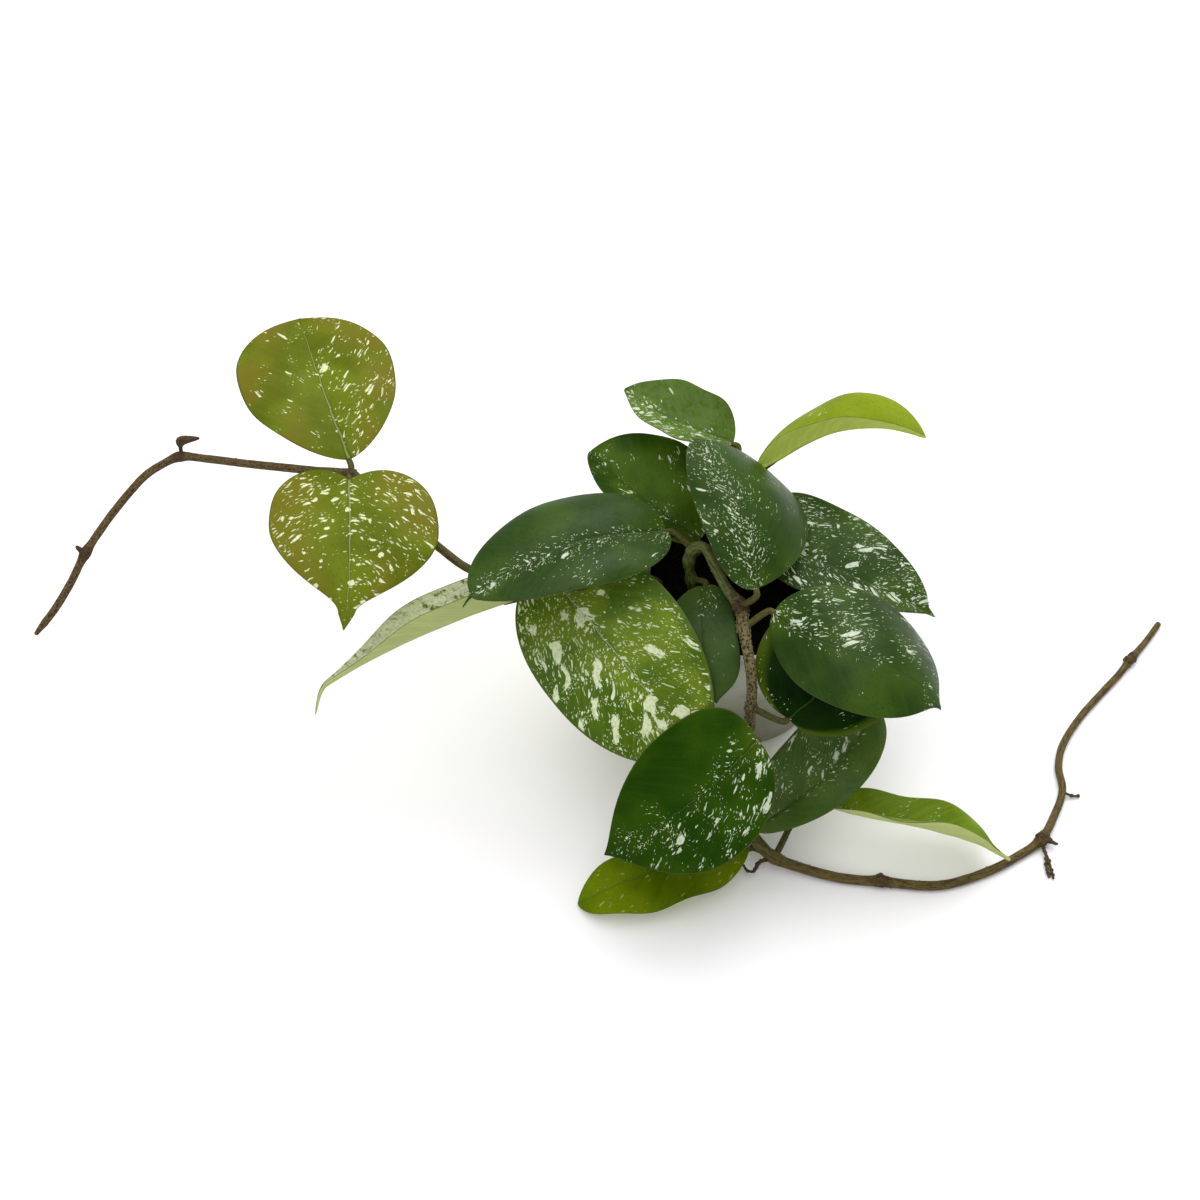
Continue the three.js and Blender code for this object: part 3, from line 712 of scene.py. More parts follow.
def stem_tree():
    """A round stem along each line, as thick as its girth, with ridges and lumps in its skin."""
    tree, given = new_tree("stem", {"Sides": "Int", "Relief": "Float"})
    line = value_of(tree, "GeometryNodeMeshToCurve", {"Mesh": given["Geometry"]})
    line = stored(line, "run", value_of(tree, "GeometryNodeSplineParameter", output="Length"))
    ring = value_of(tree, "GeometryNodeCurvePrimitiveCircle", {"Resolution": given["Sides"], "Radius": 1.0})
    ring = stored(ring, "round", value_of(tree, "GeometryNodeInputPosition"), "FLOAT_VECTOR")
    girth = read(tree, "girth")
    inputs = {"Curve": line, "Profile Curve": ring, "Scale": girth, "Fill Caps": True}
    tube = value_of(tree, "GeometryNodeCurveToMesh", inputs)
    about = read(tree, "round", "FLOAT_VECTOR")
    grain = combined(read(tree, "run"), part(about, "X") * girth, part(about, "Y") * girth)
    skin = stored(tube, "grain", grain, "FLOAT_VECTOR")
    ridge = noise(stretched(grain, RIDGE_DRAWN), *BARK_RIDGE)
    relief = (read(tree, "node") * NODE_RELIEF + 1.0) * given["Relief"]
    height = (noise(grain, *BARK_LUMP) * LUMP_SHARE + ridge - MEAN_RELIEF) * relief
    shift = stretched(value_of(tree, "GeometryNodeInputNormal"), height)
    moved = value_of(tree, "GeometryNodeSetPosition", {"Geometry": skin, "Offset": shift})
    return ended(tree, given, value_of(tree, "GeometryNodeSetShadeSmooth", {"Geometry": moved}))


def wart_tree():
    """Scatters low warts over the old part of a stem, where roots have tried to break out."""
    tree, given = new_tree("warts", SCATTER_INPUTS)
    age, node = read(tree, "age"), read(tree, "node")
    thick = (age * age + node * WARTS_AT_NODES) * given["Density"]
    points, turn = spread_over(given, thick, WART_SLOPE)
    wart = lump(tree, WART_FINENESS, WART_SHAPE)
    wart = value_of(tree, "GeometryNodeSetShadeSmooth", {"Geometry": wart})
    size = chance_size(given, WART_SIZE_SEED, WART_RARITY) * (node * NODE_WART_SIZE + 1.0)
    return ended(tree, given, with_lumps(given, points, wart, turn, size))


def painted(tree, title, output="Fac"):
    """A named attribute, in a material."""
    return value_of(tree, "ShaderNodeAttribute", output=output, attribute_name=title)


def scaled(colour, by):
    """A red, green, blue triple made darker or lighter."""
    return [level * by for level in colour]


def stem_material(name, young, dry, old, blush, roughening):
    """Smooth skin, dry far along the stem, that ages to speckled bark and is reddish at the nodes."""
    material, tree = new_material(name)
    grain = painted(tree, "grain", "Vector")
    age, node = painted(tree, "age"), painted(tree, "node")
    streak = noise(stretched(grain, STREAK_DRAWN), *BARK_STREAK)
    speckle = noise(grain, *BARK_SPECKLE)
    drift = (noise(grain, *BARK_TONE) - 0.5) * 0.9
    fresh = blended(ramp(part(grain, "X"), *DRYING), young, dry)
    fresh = blended(ramp(streak, 0.3, 0.6), scaled(blush, 0.7), fresh)
    bark = blended(ramp(speckle, 0.43, 0.53), scaled(old, 0.2), scaled(old, 1.25))
    bark = blended(ramp(streak, 0.55, 0.75), bark, scaled(old, 1.5))
    red = ramp(node, 0.05, 0.7) * (age * 0.5 + 0.4)
    inputs = {
        "Base Color": blended(red, blended(drift + age, fresh, bark), blush),
        "Roughness": age * 0.3 + 0.5,
        "Specular IOR Level": 0.15,
        "Normal": bumps(streak + speckle, roughening, 0.3 * MM),
    }
    return finished(material, inputs)


barks = {slot: stem_material(**skin) for slot, skin in BARK_SKINS.items()}
stems = stem_tree()
warts = wart_tree()
smallest, largest = (size * MM for size in WART_SIZES)
for name, vine in VINES.items():
    skin = barks[vine["slot"]]
    piece = path_piece(name + "_stem", vine_strands(vine))
    grown(piece, stems, Sides=STEM_SIDES, Relief=STEM_RELIEF * MM, Finish=skin)
    strewn = {"Density": vine["warts"], "Smallest": smallest, "Largest": largest, "Seed": WART_SEED}
    grown(piece, warts, Finish=skin, **strewn)
    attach(piece, "root")
    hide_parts(name)


# ---------------------------------------------------------------------------------------------
# The leaves: thick, waxy blades with a sunken midrib, faint side veins and silver flecks that lie
# along the veins, each on a short tough petiole that grows from a node of its vine. Old leaves are
# dark, a few are bright with large splashes, and the young ones are olive with a bronze blush.
# ---------------------------------------------------------------------------------------------
# A blade runs from its base to its tip. Its roll, its twist towards the tip and its fold are in
# degrees. It arches up, bends aside, cups across and curls down at the tip by so many millimetres.
# The lobes, the widest place, the point, the lean to one side and the spike of the tip are fractions.
LEAVES = {
    "leaf_round": {
        "vine": "vine_left", "node": "heart",
        "base": [-191, 40.5, 140], "tip": [-219.5, 123, 139], "width": 80,
        "roll": 5, "twist": 5, "fold": 15, "arch": 4, "bend": 1.5, "cup": -9, "wave": 1, "widest": 0.57,
        "point": 0.15, "lean": 0.03,
    },
    "leaf_heart": {
        "vine": "vine_left", "node": "heart",
        "base": [-190.5, 29, 139], "tip": [-190.5, -46, 127], "width": 81,
        "roll": -2, "twist": -11, "fold": 2, "arch": 8, "bend": 1, "cup": -4, "curl": 3.5, "wave": 0.8,
        "lobe": 0.11, "widest": 0.35, "point": 0.8, "lean": 0.05, "spike": (0.09, 0.1),
    },
    "leaf_folded": {
        "vine": "vine_left", "node": "pair",
        "base": [-108.5, -15, 103.5], "tip": [-210.5, -63, 91], "width": 44,
        "roll": 36, "fold": 36, "arch": 4.5, "cup": 3, "curl": 11, "curl_from": 0.9, "wave": 0.5,
        "lobe": 0.01, "widest": 0.28, "point": 0.95, "lean": 0.2,
    },
    "leaf_upper_left": {
        "vine": "vine_trailing", "node": "bend",
        "base": [-38, 7, 128.5], "tip": [-135, -35, 132.5], "width": 62,
        "roll": 0, "twist": 12, "fold": 26, "arch": 14.5, "cup": -14, "curl": 4, "curl_from": 0.93,
        "lobe": 0.01, "widest": 0.44, "point": 0.05, "lean": -0.05, "spike": (0.045, 0.04),
    },
    "leaf_splashed": {
        "vine": "vine_left", "node": "pair",
        "base": [-98, 0, 104], "tip": [-22, -84, 68.5], "width": 79.5,
        "roll": 28, "twist": 10, "fold": 9, "arch": 13, "bend": 4.5, "cup": -3, "curl": 3.5,
        "lobe": 0.03, "widest": 0.46,
    },
    "leaf_front": {
        "vine": "vine_trailing", "node": "low",
        "base": [5, -87, 91], "tip": [-68, -121, 36], "width": 70,
        "roll": -15, "twist": 8, "fold": 3, "arch": 6, "bend": 6.5, "cup": -3, "lobe": 0.02,
        "widest": 0.39, "point": 0.47, "lean": -0.03, "lead": -5,
    },
    "leaf_lower_right": {
        "vine": "vine_trailing", "node": "floor",
        "base": [8, -98, 19], "tip": [66.5, -50, 56], "width": 46.5,
        "roll": 8, "twist": 14, "fold": 26, "arch": 7.5, "bend": -6.5, "cup": -1, "curl": 1.5,
        "lobe": 0.06, "widest": 0.62, "lean": 0.24,
    },
    "leaf_right": {
        "vine": "vine_trailing", "node": "crossing",
        "base": [12.5, -35.5, 122], "tip": [91, -79, 108], "width": 64,
        "roll": 36, "twist": -60, "fold": 0, "arch": 17.5, "bend": -3.5, "cup": -14, "curl": 0.5,
        "lobe": 0.02, "widest": 0.57, "point": 0.3, "lean": 0.2, "spike": (0.02, 0.05),
    },
    "leaf_glossy": {
        "vine": "vine_trailing", "node": "front",
        "base": [20.5, -73.5, 88], "tip": [59, -33.5, 114], "width": 69,
        "roll": 26, "fold": 0, "arch": 5.5, "bend": -3, "cup": -5, "curl": 3, "wave": 0.2, "lobe": 0.05,
        "widest": 0.5, "point": 0.2, "lean": 0.11,
    },
    "leaf_inner": {
        "vine": "vine_trailing", "node": "foot",
        "base": [-19.5, -12.5, 108], "tip": [-14, -66.5, 90], "width": 38,
        "roll": 10, "fold": 5, "arch": 10, "bend": -3.5, "cup": -4, "wave": 0.2, "lobe": 0.05,
        "widest": 0.55, "point": 0.32, "lean": -0.07,
    },
    "leaf_back_left": {
        "vine": "vine_trailing", "node": "arch",
        "base": [-22.5, 9.5, 115], "tip": [-75.5, 53, 126], "width": 56,
        "roll": 11, "fold": 22, "arch": 2, "bend": 3, "cup": -1.5, "wave": 0.6, "lobe": 0.02,
        "widest": 0.44, "lean": -0.3,
    },
    "leaf_centre": {
        "vine": "vine_trailing", "node": "knot",
        "base": [4.5, -25.5, 129], "tip": [-25.5, 42, 156], "width": 64,
        "roll": 2, "twist": 27, "fold": 0, "arch": 4.5, "bend": -6.5, "cup": -12, "curl": 1,
        "wave": 0.3, "lobe": 0.01, "widest": 0.5, "point": 0.11, "lean": -0.37,
    },
    "leaf_back_right": {
        "vine": "vine_back", "node": "side",
        "base": [7.5, 21, 106.5], "tip": [92.5, -22.5, 97], "width": 56.5,
        "roll": 5, "twist": -18, "fold": 21, "arch": 7, "bend": -5.5, "cup": -7, "curl": 0.5,
        "lobe": 0.04, "widest": 0.36, "point": 0.29, "lean": 0.2, "spike": (0.05, 0.08),
    },
    "leaf_top": {
        "vine": "vine_back", "node": "end",
        "base": [-5, 56.5, 129.5], "tip": [-58, 80, 141], "width": 36,
        "roll": 16, "twist": -17, "fold": 18, "arch": 3.5, "bend": 6.5, "cup": 3, "wave": 0.9,
        "widest": 0.43, "point": 0.18, "lean": -0.08,
    },
    "leaf_arching": {
        "vine": "vine_back", "node": "crown",
        "base": [7.5, 47.5, 119.5], "tip": [87, 54.5, 142.5], "width": 49,
        "roll": -60, "twist": 31, "fold": 45, "arch": 9, "bend": 5, "cup": -6.5, "curl": 3.5,
        "lobe": 0.01, "widest": 0.45, "lean": 0.24,
    },
    "leaf_low_left": {
        "vine": "vine_trailing", "node": "floor",
        "base": [3.5, -105, 10], "tip": [-81, -132, 3.5], "width": 39,
        "roll": 4, "twist": 7, "fold": 1, "arch": 7, "bend": 1, "cup": -1, "wave": 2, "widest": 0.5,
        "lean": 0.05,
    },
    "leaf_low_right": {
        "vine": "vine_trailing", "node": "floor",
        "base": [35.5, -83.5, 20], "tip": [134, -108, 8], "width": 42,
        "roll": -30, "twist": -24, "fold": 30, "arch": 6.5, "bend": -12, "cup": -1, "curl": 3,
        "wave": 1.4, "widest": 0.6, "point": 0.73, "lean": -0.08,
    },
}
LEAF_FORM = {
    "twist": 0, "bend": 0, "curl": 0, "curl_from": 0.75, "wave": 0.4, "lobe": 0, "point": 0, "lean": 0,
    "lead": 3, "spike": (0, 0),
}
LOBE_REACH, LOBE_FULLNESS = 1.5, 0.3
SHOULDER_REACH, FLANK_REACH = 0.36, 0.34
TIP_REACH, POINT_REACH, TIP_FULLNESS = 0.98, 0.22, 0.42
OUTLINE_POINTS, RIPPLES = 201, 2.5
BLADE_ROWS, BLADE_COLUMNS = 110, 56
RIB_THICKNESS, MARGIN_THICKNESS = 1.5, 0.9
MARGIN_SQUARENESS, END_SQUARENESS, RIM_SHARE = 12, 24, 0.2
VEIN_SPACING, VEIN_SLANT, VEIN_WANDER, VEIN_SWELL, VEIN_START = 7.5, 0.8, 7, 0.03, 6
RIB_WIDTH, RIB_TAPER, RIB_FADE, RIB_GROOVE, RIB_KEEL = 1.1, 0.6, 0.7, 0.35, 0.75
VEIN_WAVES, BROAD_WAVES, SMALL_WAVES = 0.12, 0.11, 0.3
VEIN_SEED, SMALL_SEED = 50, 90
BROAD_SWELL, SMALL_SWELL = 0.35, 0.12


def bezier(corners, u):
    a, b, c, d = (np.array(corner, float) for corner in corners)
    return (1 - u) ** 3 * a + 3 * u * (1 - u) ** 2 * b + 3 * u**2 * (1 - u) * c + u**3 * d


def blade_length(leaf):
    return np.linalg.norm(np.array(leaf["tip"], float) - np.array(leaf["base"], float))


def outline_at(leaf, s):
    """A blade's half outline at shares of its arc: fractions of its length and of its half width."""
    u = np.linspace(0, 1, OUTLINE_POINTS)[:, None]
    lobe, widest, point = leaf["lobe"], leaf["widest"], leaf["point"]
    shoulder = (widest - SHOULDER_REACH - lobe, 1)
    inner = [(0, 0), (-LOBE_REACH * lobe, LOBE_FULLNESS), shoulder, (widest, 1)]
    tip = (TIP_REACH - POINT_REACH * point, TIP_FULLNESS * (1 - point))
    spike, breadth = leaf["spike"]
    outer = [(widest, 1), (widest + FLANK_REACH, 1), tip, (1 - spike, breadth)]
    places = np.vstack([bezier(inner, u), bezier(outer, u), [(1, 0)]])
    reach = np.concatenate([[0], np.cumsum(np.linalg.norm(np.diff(places, axis=0), axis=1))])
    reach /= reach[-1]
    return np.interp(s, reach, places[:, 0]), np.interp(s, reach, places[:, 1])


def blade_sheet(leaf, s, v):
    """The middle surface of a blade at s along the midrib and v across it, and its flat coordinates."""
    base, length = np.array(leaf["base"], float), blade_length(leaf)
    along = (np.array(leaf["tip"], float) - base) / length
    level = np.cross((0, 0, 1), along)
    level /= np.linalg.norm(level)
    edge_x, edge_y = outline_at(leaf, s)
    t = s + (edge_x - s) * np.abs(v)
    share = edge_y * (v + leaf["lean"] * v**2)
    across = 0.5 * leaf["width"] * share
    roll = np.radians(leaf["roll"] + leaf["twist"] * t)[..., None]
    left = level * np.cos(roll) + np.cross(along, level) * np.sin(roll)
    up = np.cross(along, left)
    fold = math.radians(leaf["fold"])
    drop = np.maximum(0, (t - leaf["curl_from"]) / (1 - leaf["curl_from"]))
    height = (
        leaf["arch"] * np.sin(math.pi * t)
        + np.abs(across) * math.sin(fold)
        + leaf["cup"] * share**2
        - leaf["curl"] * drop**2
        + leaf["wave"] * v**2 * np.sin(2 * math.pi * RIPPLES * t + leaf["width"])
    )
    aside = across * math.cos(fold) + leaf["bend"] * np.sin(math.pi * t)
    places = base + along * (length * t)[..., None] + left * aside[..., None]
    return places + up * height[..., None], length * t, across


def blade_skins(leaf, seed):
    """A blade's middle, upper and lower surface as grids of points, and what its material reads."""
    s = 0.5 - 0.5 * np.cos(np.linspace(0, math.pi, BLADE_ROWS + 1))
    v = np.sin(np.linspace(-0.5, 0.5, BLADE_COLUMNS + 1) * math.pi)
    s, v = np.meshgrid(s, v, indexing="ij")
    sheet, x, y = blade_sheet(leaf, s, v)
    normal = np.cross(np.gradient(sheet, axis=0), np.gradient(sheet, axis=1))
    normal[0], normal[-1] = normal[1], normal[-2]
    normal /= np.maximum(np.linalg.norm(normal, axis=2), 1e-9)[..., None]
    end = np.sqrt(np.clip(1 - np.abs(2 * s - 1) ** END_SQUARENESS, 0, 1))
    half = 0.5 * (RIB_THICKNESS + (MARGIN_THICKNESS - RIB_THICKNESS) * np.abs(v))
    half = half * np.sqrt(np.clip(1 - np.abs(v) ** MARGIN_SQUARENESS, 0, 1)) * end
    inside = np.clip((1 - np.abs(v)) / RIM_SHARE, 0, 1) * end
    aside = np.abs(y)
    wander = VEIN_WANDER * waves(x, y, seed + VEIN_SEED, VEIN_WAVES)
    vein = np.cos(2 * math.pi * (x - VEIN_SLANT * aside + wander) / VEIN_SPACING)
    swell = VEIN_SWELL * vein * np.clip(aside / VEIN_START, 0, 1) * inside
    rib = np.exp(-((y / (RIB_WIDTH * (1 - RIB_TAPER * s))) ** 2)) * (1 - RIB_FADE * s) * end
    broad = waves(x, y, seed, BROAD_WAVES)
    small = waves(x, y, seed + SMALL_SEED, SMALL_WAVES)
    swell = swell + (BROAD_SWELL * broad + SMALL_SWELL * small) * inside
    upper = sheet + normal * (half + swell - RIB_GROOVE * rib)[..., None]
    lower = sheet - normal * (half - swell + RIB_KEEL * rib)[..., None]
    return sheet, upper, lower, {"flat_x": x, "flat_y": y, "margin": np.abs(v), "along": s}


def in_order(ends, upper, lower):
    """Grids as one list: the two ends, the upper skin, and the lower skin inside the shared margin."""
    size = ends.shape[2]
    skins = upper[1:-1].reshape(-1, size), lower[1:-1, 1:-1].reshape(-1, size)
    return np.vstack([ends[0, 0], ends[-1, 0], *skins])


def blade_faces():
    """The faces of both skins, which share the margin and close to a point at each end."""
    rows, columns = BLADE_ROWS, BLADE_COLUMNS
    upper = np.arange((rows - 1) * (columns + 1)).reshape(rows - 1, columns + 1) + 2
    lower = upper.copy()
    lower[:, 1:-1] = upper.max() + 1 + np.arange((rows - 1) * (columns - 1)).reshape(rows - 1, -1)
    faces = []
    for layer, turned in ((upper.tolist(), False), (lower.tolist(), True)):
        for c in range(columns):
            strip = [(0, layer[0][c], layer[0][c + 1]), (layer[-1][c], 1, layer[-1][c + 1])]
            for near, far in zip(layer, layer[1:]):
                strip.append((near[c], far[c], far[c + 1], near[c + 1]))
            faces += [face[::-1] if turned else face for face in strip]
    return faces


def blade_piece(name, leaf, material, seed):
    """A closed blade that carries what its material reads."""
    sheet, upper, lower, shown = blade_skins(leaf, seed)
    blade = new_piece(name, in_order(sheet, upper, lower) * MM, blade_faces(), material)
    for title, grid in shown.items():
        grid = grid[..., None]
        store(blade.data, title, in_order(grid, grid, grid)[:, 0])
    top, under = np.zeros((*sheet.shape[:2], 1)), np.ones((*sheet.shape[:2], 1))
    store(blade.data, "underside", in_order(top, top, under)[:, 0])
    return blade


FLECKS = {
    "splash": {"size": (4.9, 5.6), "gathered": 0.2, "torn": 1.3, "strength": 1.0},
    "fleck": {"size": (2.0, 2.3), "gathered": 0.5, "torn": 0.9, "strength": 1.0},
    "speck": {"size": (0.9, 0.95), "gathered": 1.0, "torn": 0.4, "strength": 0.85},
}
SPOT_SMALLEST, SPOT_SPAN, SPOT_RARITY = 0.16, 0.34, 1.5
PATTERNS = {
    "crowds": (0.07, 1.0), "frost_and_sheen": (0.3, 5.0, 0.65), "drifts": (0.035, 2.0), "streaks": (1.0, 4.0, 0.6),
    "mottling": (0.8, 4.0, 0.7), "blush": (0.04, 1.0), "wander": (0.12, 3.0), "silver": (0.7, 3.0),
    "wax": (0.25, 4.0), "pores": (2.4, 3.0),
}
STREAKS_DRAWN = (0.3, 0.05, 1)
VEIN_BOW = 0.008
SWAY_SCALE, SWAY_REACH = 0.14, 6.0
SHADE, SILVER_SHADE, BACK_SHADE = 0.6, 0.75, 0.88
SEED_SHIFT = (7.3, 3.1)
RIB_LINE, RIB_LINE_TAPER, RIB_WANDER = 0.55, -0.4, 2.5
UNDERSIDE_FLECKS, UNDERSIDE_ROUGHNESS = 0.1, 0.2


def shifted(vector, step):
    """The vector moved by another."""
    return value_of(vector.tree, "ShaderNodeVectorMath", {0: vector, 1: step}, operation="ADD")


def highest(first, *others):
    """The largest of these values."""
    for other in others:
        first = calc("MAXIMUM", first, other)
    return first


def skin_fields(tree, coat, seed):
    """Where a point is on the flattened blade and along its veins, and the streaks that follow them."""
    at = {title: painted(tree, title) for title in ("flat_x", "flat_y", "margin", "along", "underside")}
    x, y = at["flat_x"], at["flat_y"]
    at["aside"] = abs(y)
    at["flat"] = combined(x, y, seed)
    at["veined"] = combined(x - at["aside"] ** 2 * VEIN_BOW - at["aside"] * coat["rise"], y, seed)
    at["streaks"] = noise(stretched(at["veined"], STREAKS_DRAWN), *PATTERNS["streaks"])
    return at


def torn_blots(kind, coat, cells_at, crowd, near_rib):
    """Torn blots along the veins, at most one to a cell. The coat says how many cells they fill."""
    fleck = FLECKS[kind]
    grown_by = coat["size"] * (coat["blotch"] if kind == "splash" else 1)
    short, long = fleck["size"][0] * grown_by, fleck["size"][1] * grown_by * coat["drawn"]
    cells = {"Vector": stretched(cells_at, (1 / short, 1 / long, 0)), "Scale": 1.0}
    spots = add(cells_at.tree, "ShaderNodeTexVoronoi", cells, voronoi_dimensions="2D").outputs
    chance, distance = Value(cells_at.tree, spots["Color"]), Value(cells_at.tree, spots["Distance"])
    crowd = near_rib * fleck["gathered"] + crowd + coat[kind]
    filled = ramp(crowd - part(chance, "X"), 0.0, 0.08)
    size = (part(chance, "Y") ** SPOT_RARITY * SPOT_SPAN + SPOT_SMALLEST) * filled
    tears = noise(cells_at, 3.0 / short, 5.0, 0.7) - 0.5
    return ramp(tears * filled * fleck["torn"] + size - distance, 0.0, 0.07, 0.0, fleck["strength"])


def silver_flecks(coat, at, seed):
    """How silver the skin is: blots of three sizes and a faint silvery film, none at the very margin.
    The film is partly the leaf's own bloom and partly painted sheen.
    """
    noisy = {"Vector": at["flat"], "Scale": SWAY_SCALE, "Detail": 0.0}
    sway = value_of(at["flat"].tree, "ShaderNodeTexNoise", noisy, "Color")
    sway = stretched(shifted(sway, (-0.5, -0.5, -0.5)), (SWAY_REACH,) * 3)
    cells_at = shifted(shifted(at["veined"], (seed * SEED_SHIFT[0], seed * SEED_SHIFT[1], 0)), sway)
    crowd = (noise(at["flat"], *PATTERNS["crowds"]) - 0.5) * coat["patchy"]
    crowd = (ramp(at["flat_y"], -7.0, 7.0) - 0.5) * coat["side"] + crowd
    crowd = (at["along"] - 0.5) * coat["run"] + crowd
    near_rib = ramp(at["aside"], 1.5, coat["reach"], coat["gather"], 0.0)
    blots = [torn_blots(kind, coat, cells_at, crowd, near_rib) for kind in FLECKS]
    # Partly painted sheen: a faint pale film in patches, for the satin sheen on some leaves, partly their
    # own bloom.
    frost_and_sheen = ramp(noise(at["flat"], *PATTERNS["frost_and_sheen"]), 0.36, 0.52, 0.0, coat["frost_and_sheen"])
    kept = at["underside"] * (UNDERSIDE_FLECKS - 1) + 1.0
    return highest(*blots, frost_and_sheen) * kept * ramp(at["margin"], 0.95, 0.99, 1.0, 0.0)


def leaf_green(coat, at):
    """The upper side's green: drifts, streaks and mottling, a blush, a pale foot and a paler band."""
    flat, margin = at["flat"], at["margin"]
    green = blended(ramp(noise(flat, *PATTERNS["drifts"]), 0.36, 0.64), coat["deep"], coat["light"])
    green = blended(ramp(at["streaks"], 0.35, 0.7, 0.0, 0.35), green, coat["light"])
    mottling = ramp(noise(flat, *PATTERNS["mottling"]), 0.52, 0.7, 0.0, 0.5)
    green = blended(mottling, green, scaled(coat["deep"], SHADE))
    blush = ramp(noise(flat, *PATTERNS["blush"]), 0.4, 0.6) * ramp(margin, 0.1, 0.95, 0.0, coat["blush"])
    green = blended(blush, green, coat["blush_colour"])
    foot = ramp(at["flat_x"] + at["aside"], 2.0, 20.0, coat["foot"], 0.0)
    # The band at the margin takes the foot's colour. On leaf_glossy it is partly a painted highlight.
    band = ramp(margin, 0.78, 0.96, 0.0, coat["band"])
    return blended(highest(foot, band), green, coat["foot_colour"])


def leaf_material(name, coat, seed):
    """Waxy skin: green above and pale below, with silver flecks, a midrib and a coloured edge.
    The pale underside is partly painted light, for the light that shines through the blade.
    """
    material, tree = new_material(name)
    at = skin_fields(tree, coat, seed)
    flat, underside = at["flat"], at["underside"]
    flecked = silver_flecks(coat, at, seed)
    strayed = (noise(flat, *PATTERNS["wander"]) - 0.5) * RIB_WANDER + at["flat_y"]
    off_rib = abs(strayed) / (at["along"] * RIB_LINE_TAPER + RIB_LINE)
    # Painted shade: the green darkens in a narrow strip on each side of the sunken midrib.
    painted_groove_shade = ramp(off_rib, 1.6, 3.2, 0.5, 0.0)
    green = blended(painted_groove_shade, leaf_green(coat, at), scaled(coat["deep"], SHADE))
    # Painted light: the back colours are paler than an underside's own green, for light shining through the
    # blade.
    back = blended(ramp(at["streaks"], 0.35, 0.65), scaled(coat["back"], BACK_SHADE), coat["back"])
    colour = blended(underside, green, back)
    silver = ramp(noise(flat, *PATTERNS["silver"]), 0.3, 0.62)
    silver = blended(silver, scaled(coat["fleck_colour"], SILVER_SHADE), coat["fleck_colour"])
    colour = blended(flecked, colour, silver)
    colour = blended(ramp(off_rib, 0.5, 1.3, coat["rib"], 0.0), colour, coat["rib_colour"])
    colour = blended(ramp(at["margin"], 0.975, 0.995, 0.0, coat["edge"]), colour, coat["edge_colour"])
    rough = (noise(flat, *PATTERNS["wax"]) - 0.5) * 0.3 + coat["roughness"]
    height = at["streaks"] * 0.8 + noise(flat, *PATTERNS["pores"]) * 0.4 + flecked * 0.1
    inputs = {
        "Base Color": colour,
        "Roughness": underside * UNDERSIDE_ROUGHNESS + rough,
        "Specular IOR Level": coat["shine"],
        "Normal": bumps(height, 0.2, 0.5 * MM),
    }
    return finished(material, inputs)


# Colours are linear. Splashes, flecks and specks are the shares of cells that they fill, which the
# patches, the midrib, one side of the blade (side) or its outer end (run) raise or lower.
# Every coat's back colour is partly painted light: it holds the light that shines through the blade.
DARK = {
    "deep": (0.012, 0.038, 0.0004), "light": (0.03, 0.069, 0.002), "back": (0.2, 0.28, 0.07),
    "fleck_colour": (0.54, 0.6, 0.46), "rib_colour": (0.06, 0.11, 0.02), "rib": 0.4,
    "blush": 0.0, "blush_colour": (0.2, 0.13, 0.03), "edge": 0.6, "edge_colour": (0.08, 0.09, 0.03),
    "foot": 0.3, "foot_colour": (0.08, 0.13, 0.004), "band": 0.0, "roughness": 0.42, "shine": 0.05,
    "rise": 0.9, "size": 1.0, "blotch": 1.0, "drawn": 1.0, "splash": 0.02, "fleck": 0.1, "speck": 0.12,
    "patchy": 0.8, "gather": 0.12, "reach": 9.0, "side": 0.0, "run": 0.0, "frost_and_sheen": 0.0,
}
BRIGHT = {
    **DARK, "deep": (0.05, 0.11, 0.001), "light": (0.125, 0.2, 0.008), "back": (0.5, 0.58, 0.2),
    "fleck_colour": (0.68, 0.76, 0.48), "rib_colour": (0.4, 0.46, 0.22), "rib": 0.6,
    "splash": 0.3, "fleck": 0.25, "speck": 0.3,
}
YOUNG = {
    **DARK, "deep": (0.085, 0.11, 0.003), "light": (0.13, 0.17, 0.008), "back": (0.55, 0.68, 0.11),
    "fleck_colour": (0.68, 0.72, 0.44), "rib_colour": (0.34, 0.4, 0.18), "rib": 0.45,
    "blush": 0.6, "blush_colour": (0.16, 0.12, 0.012), "edge_colour": (0.03, 0.06, 0.004),
    "splash": 0.05, "fleck": 0.18, "speck": 0.16, "gather": 0.0, "rise": 0.5, "drawn": 1.8,
}
SLOT_COATS = {"dark_leaf": DARK, "bright_leaf": BRIGHT, "young_leaf": YOUNG}
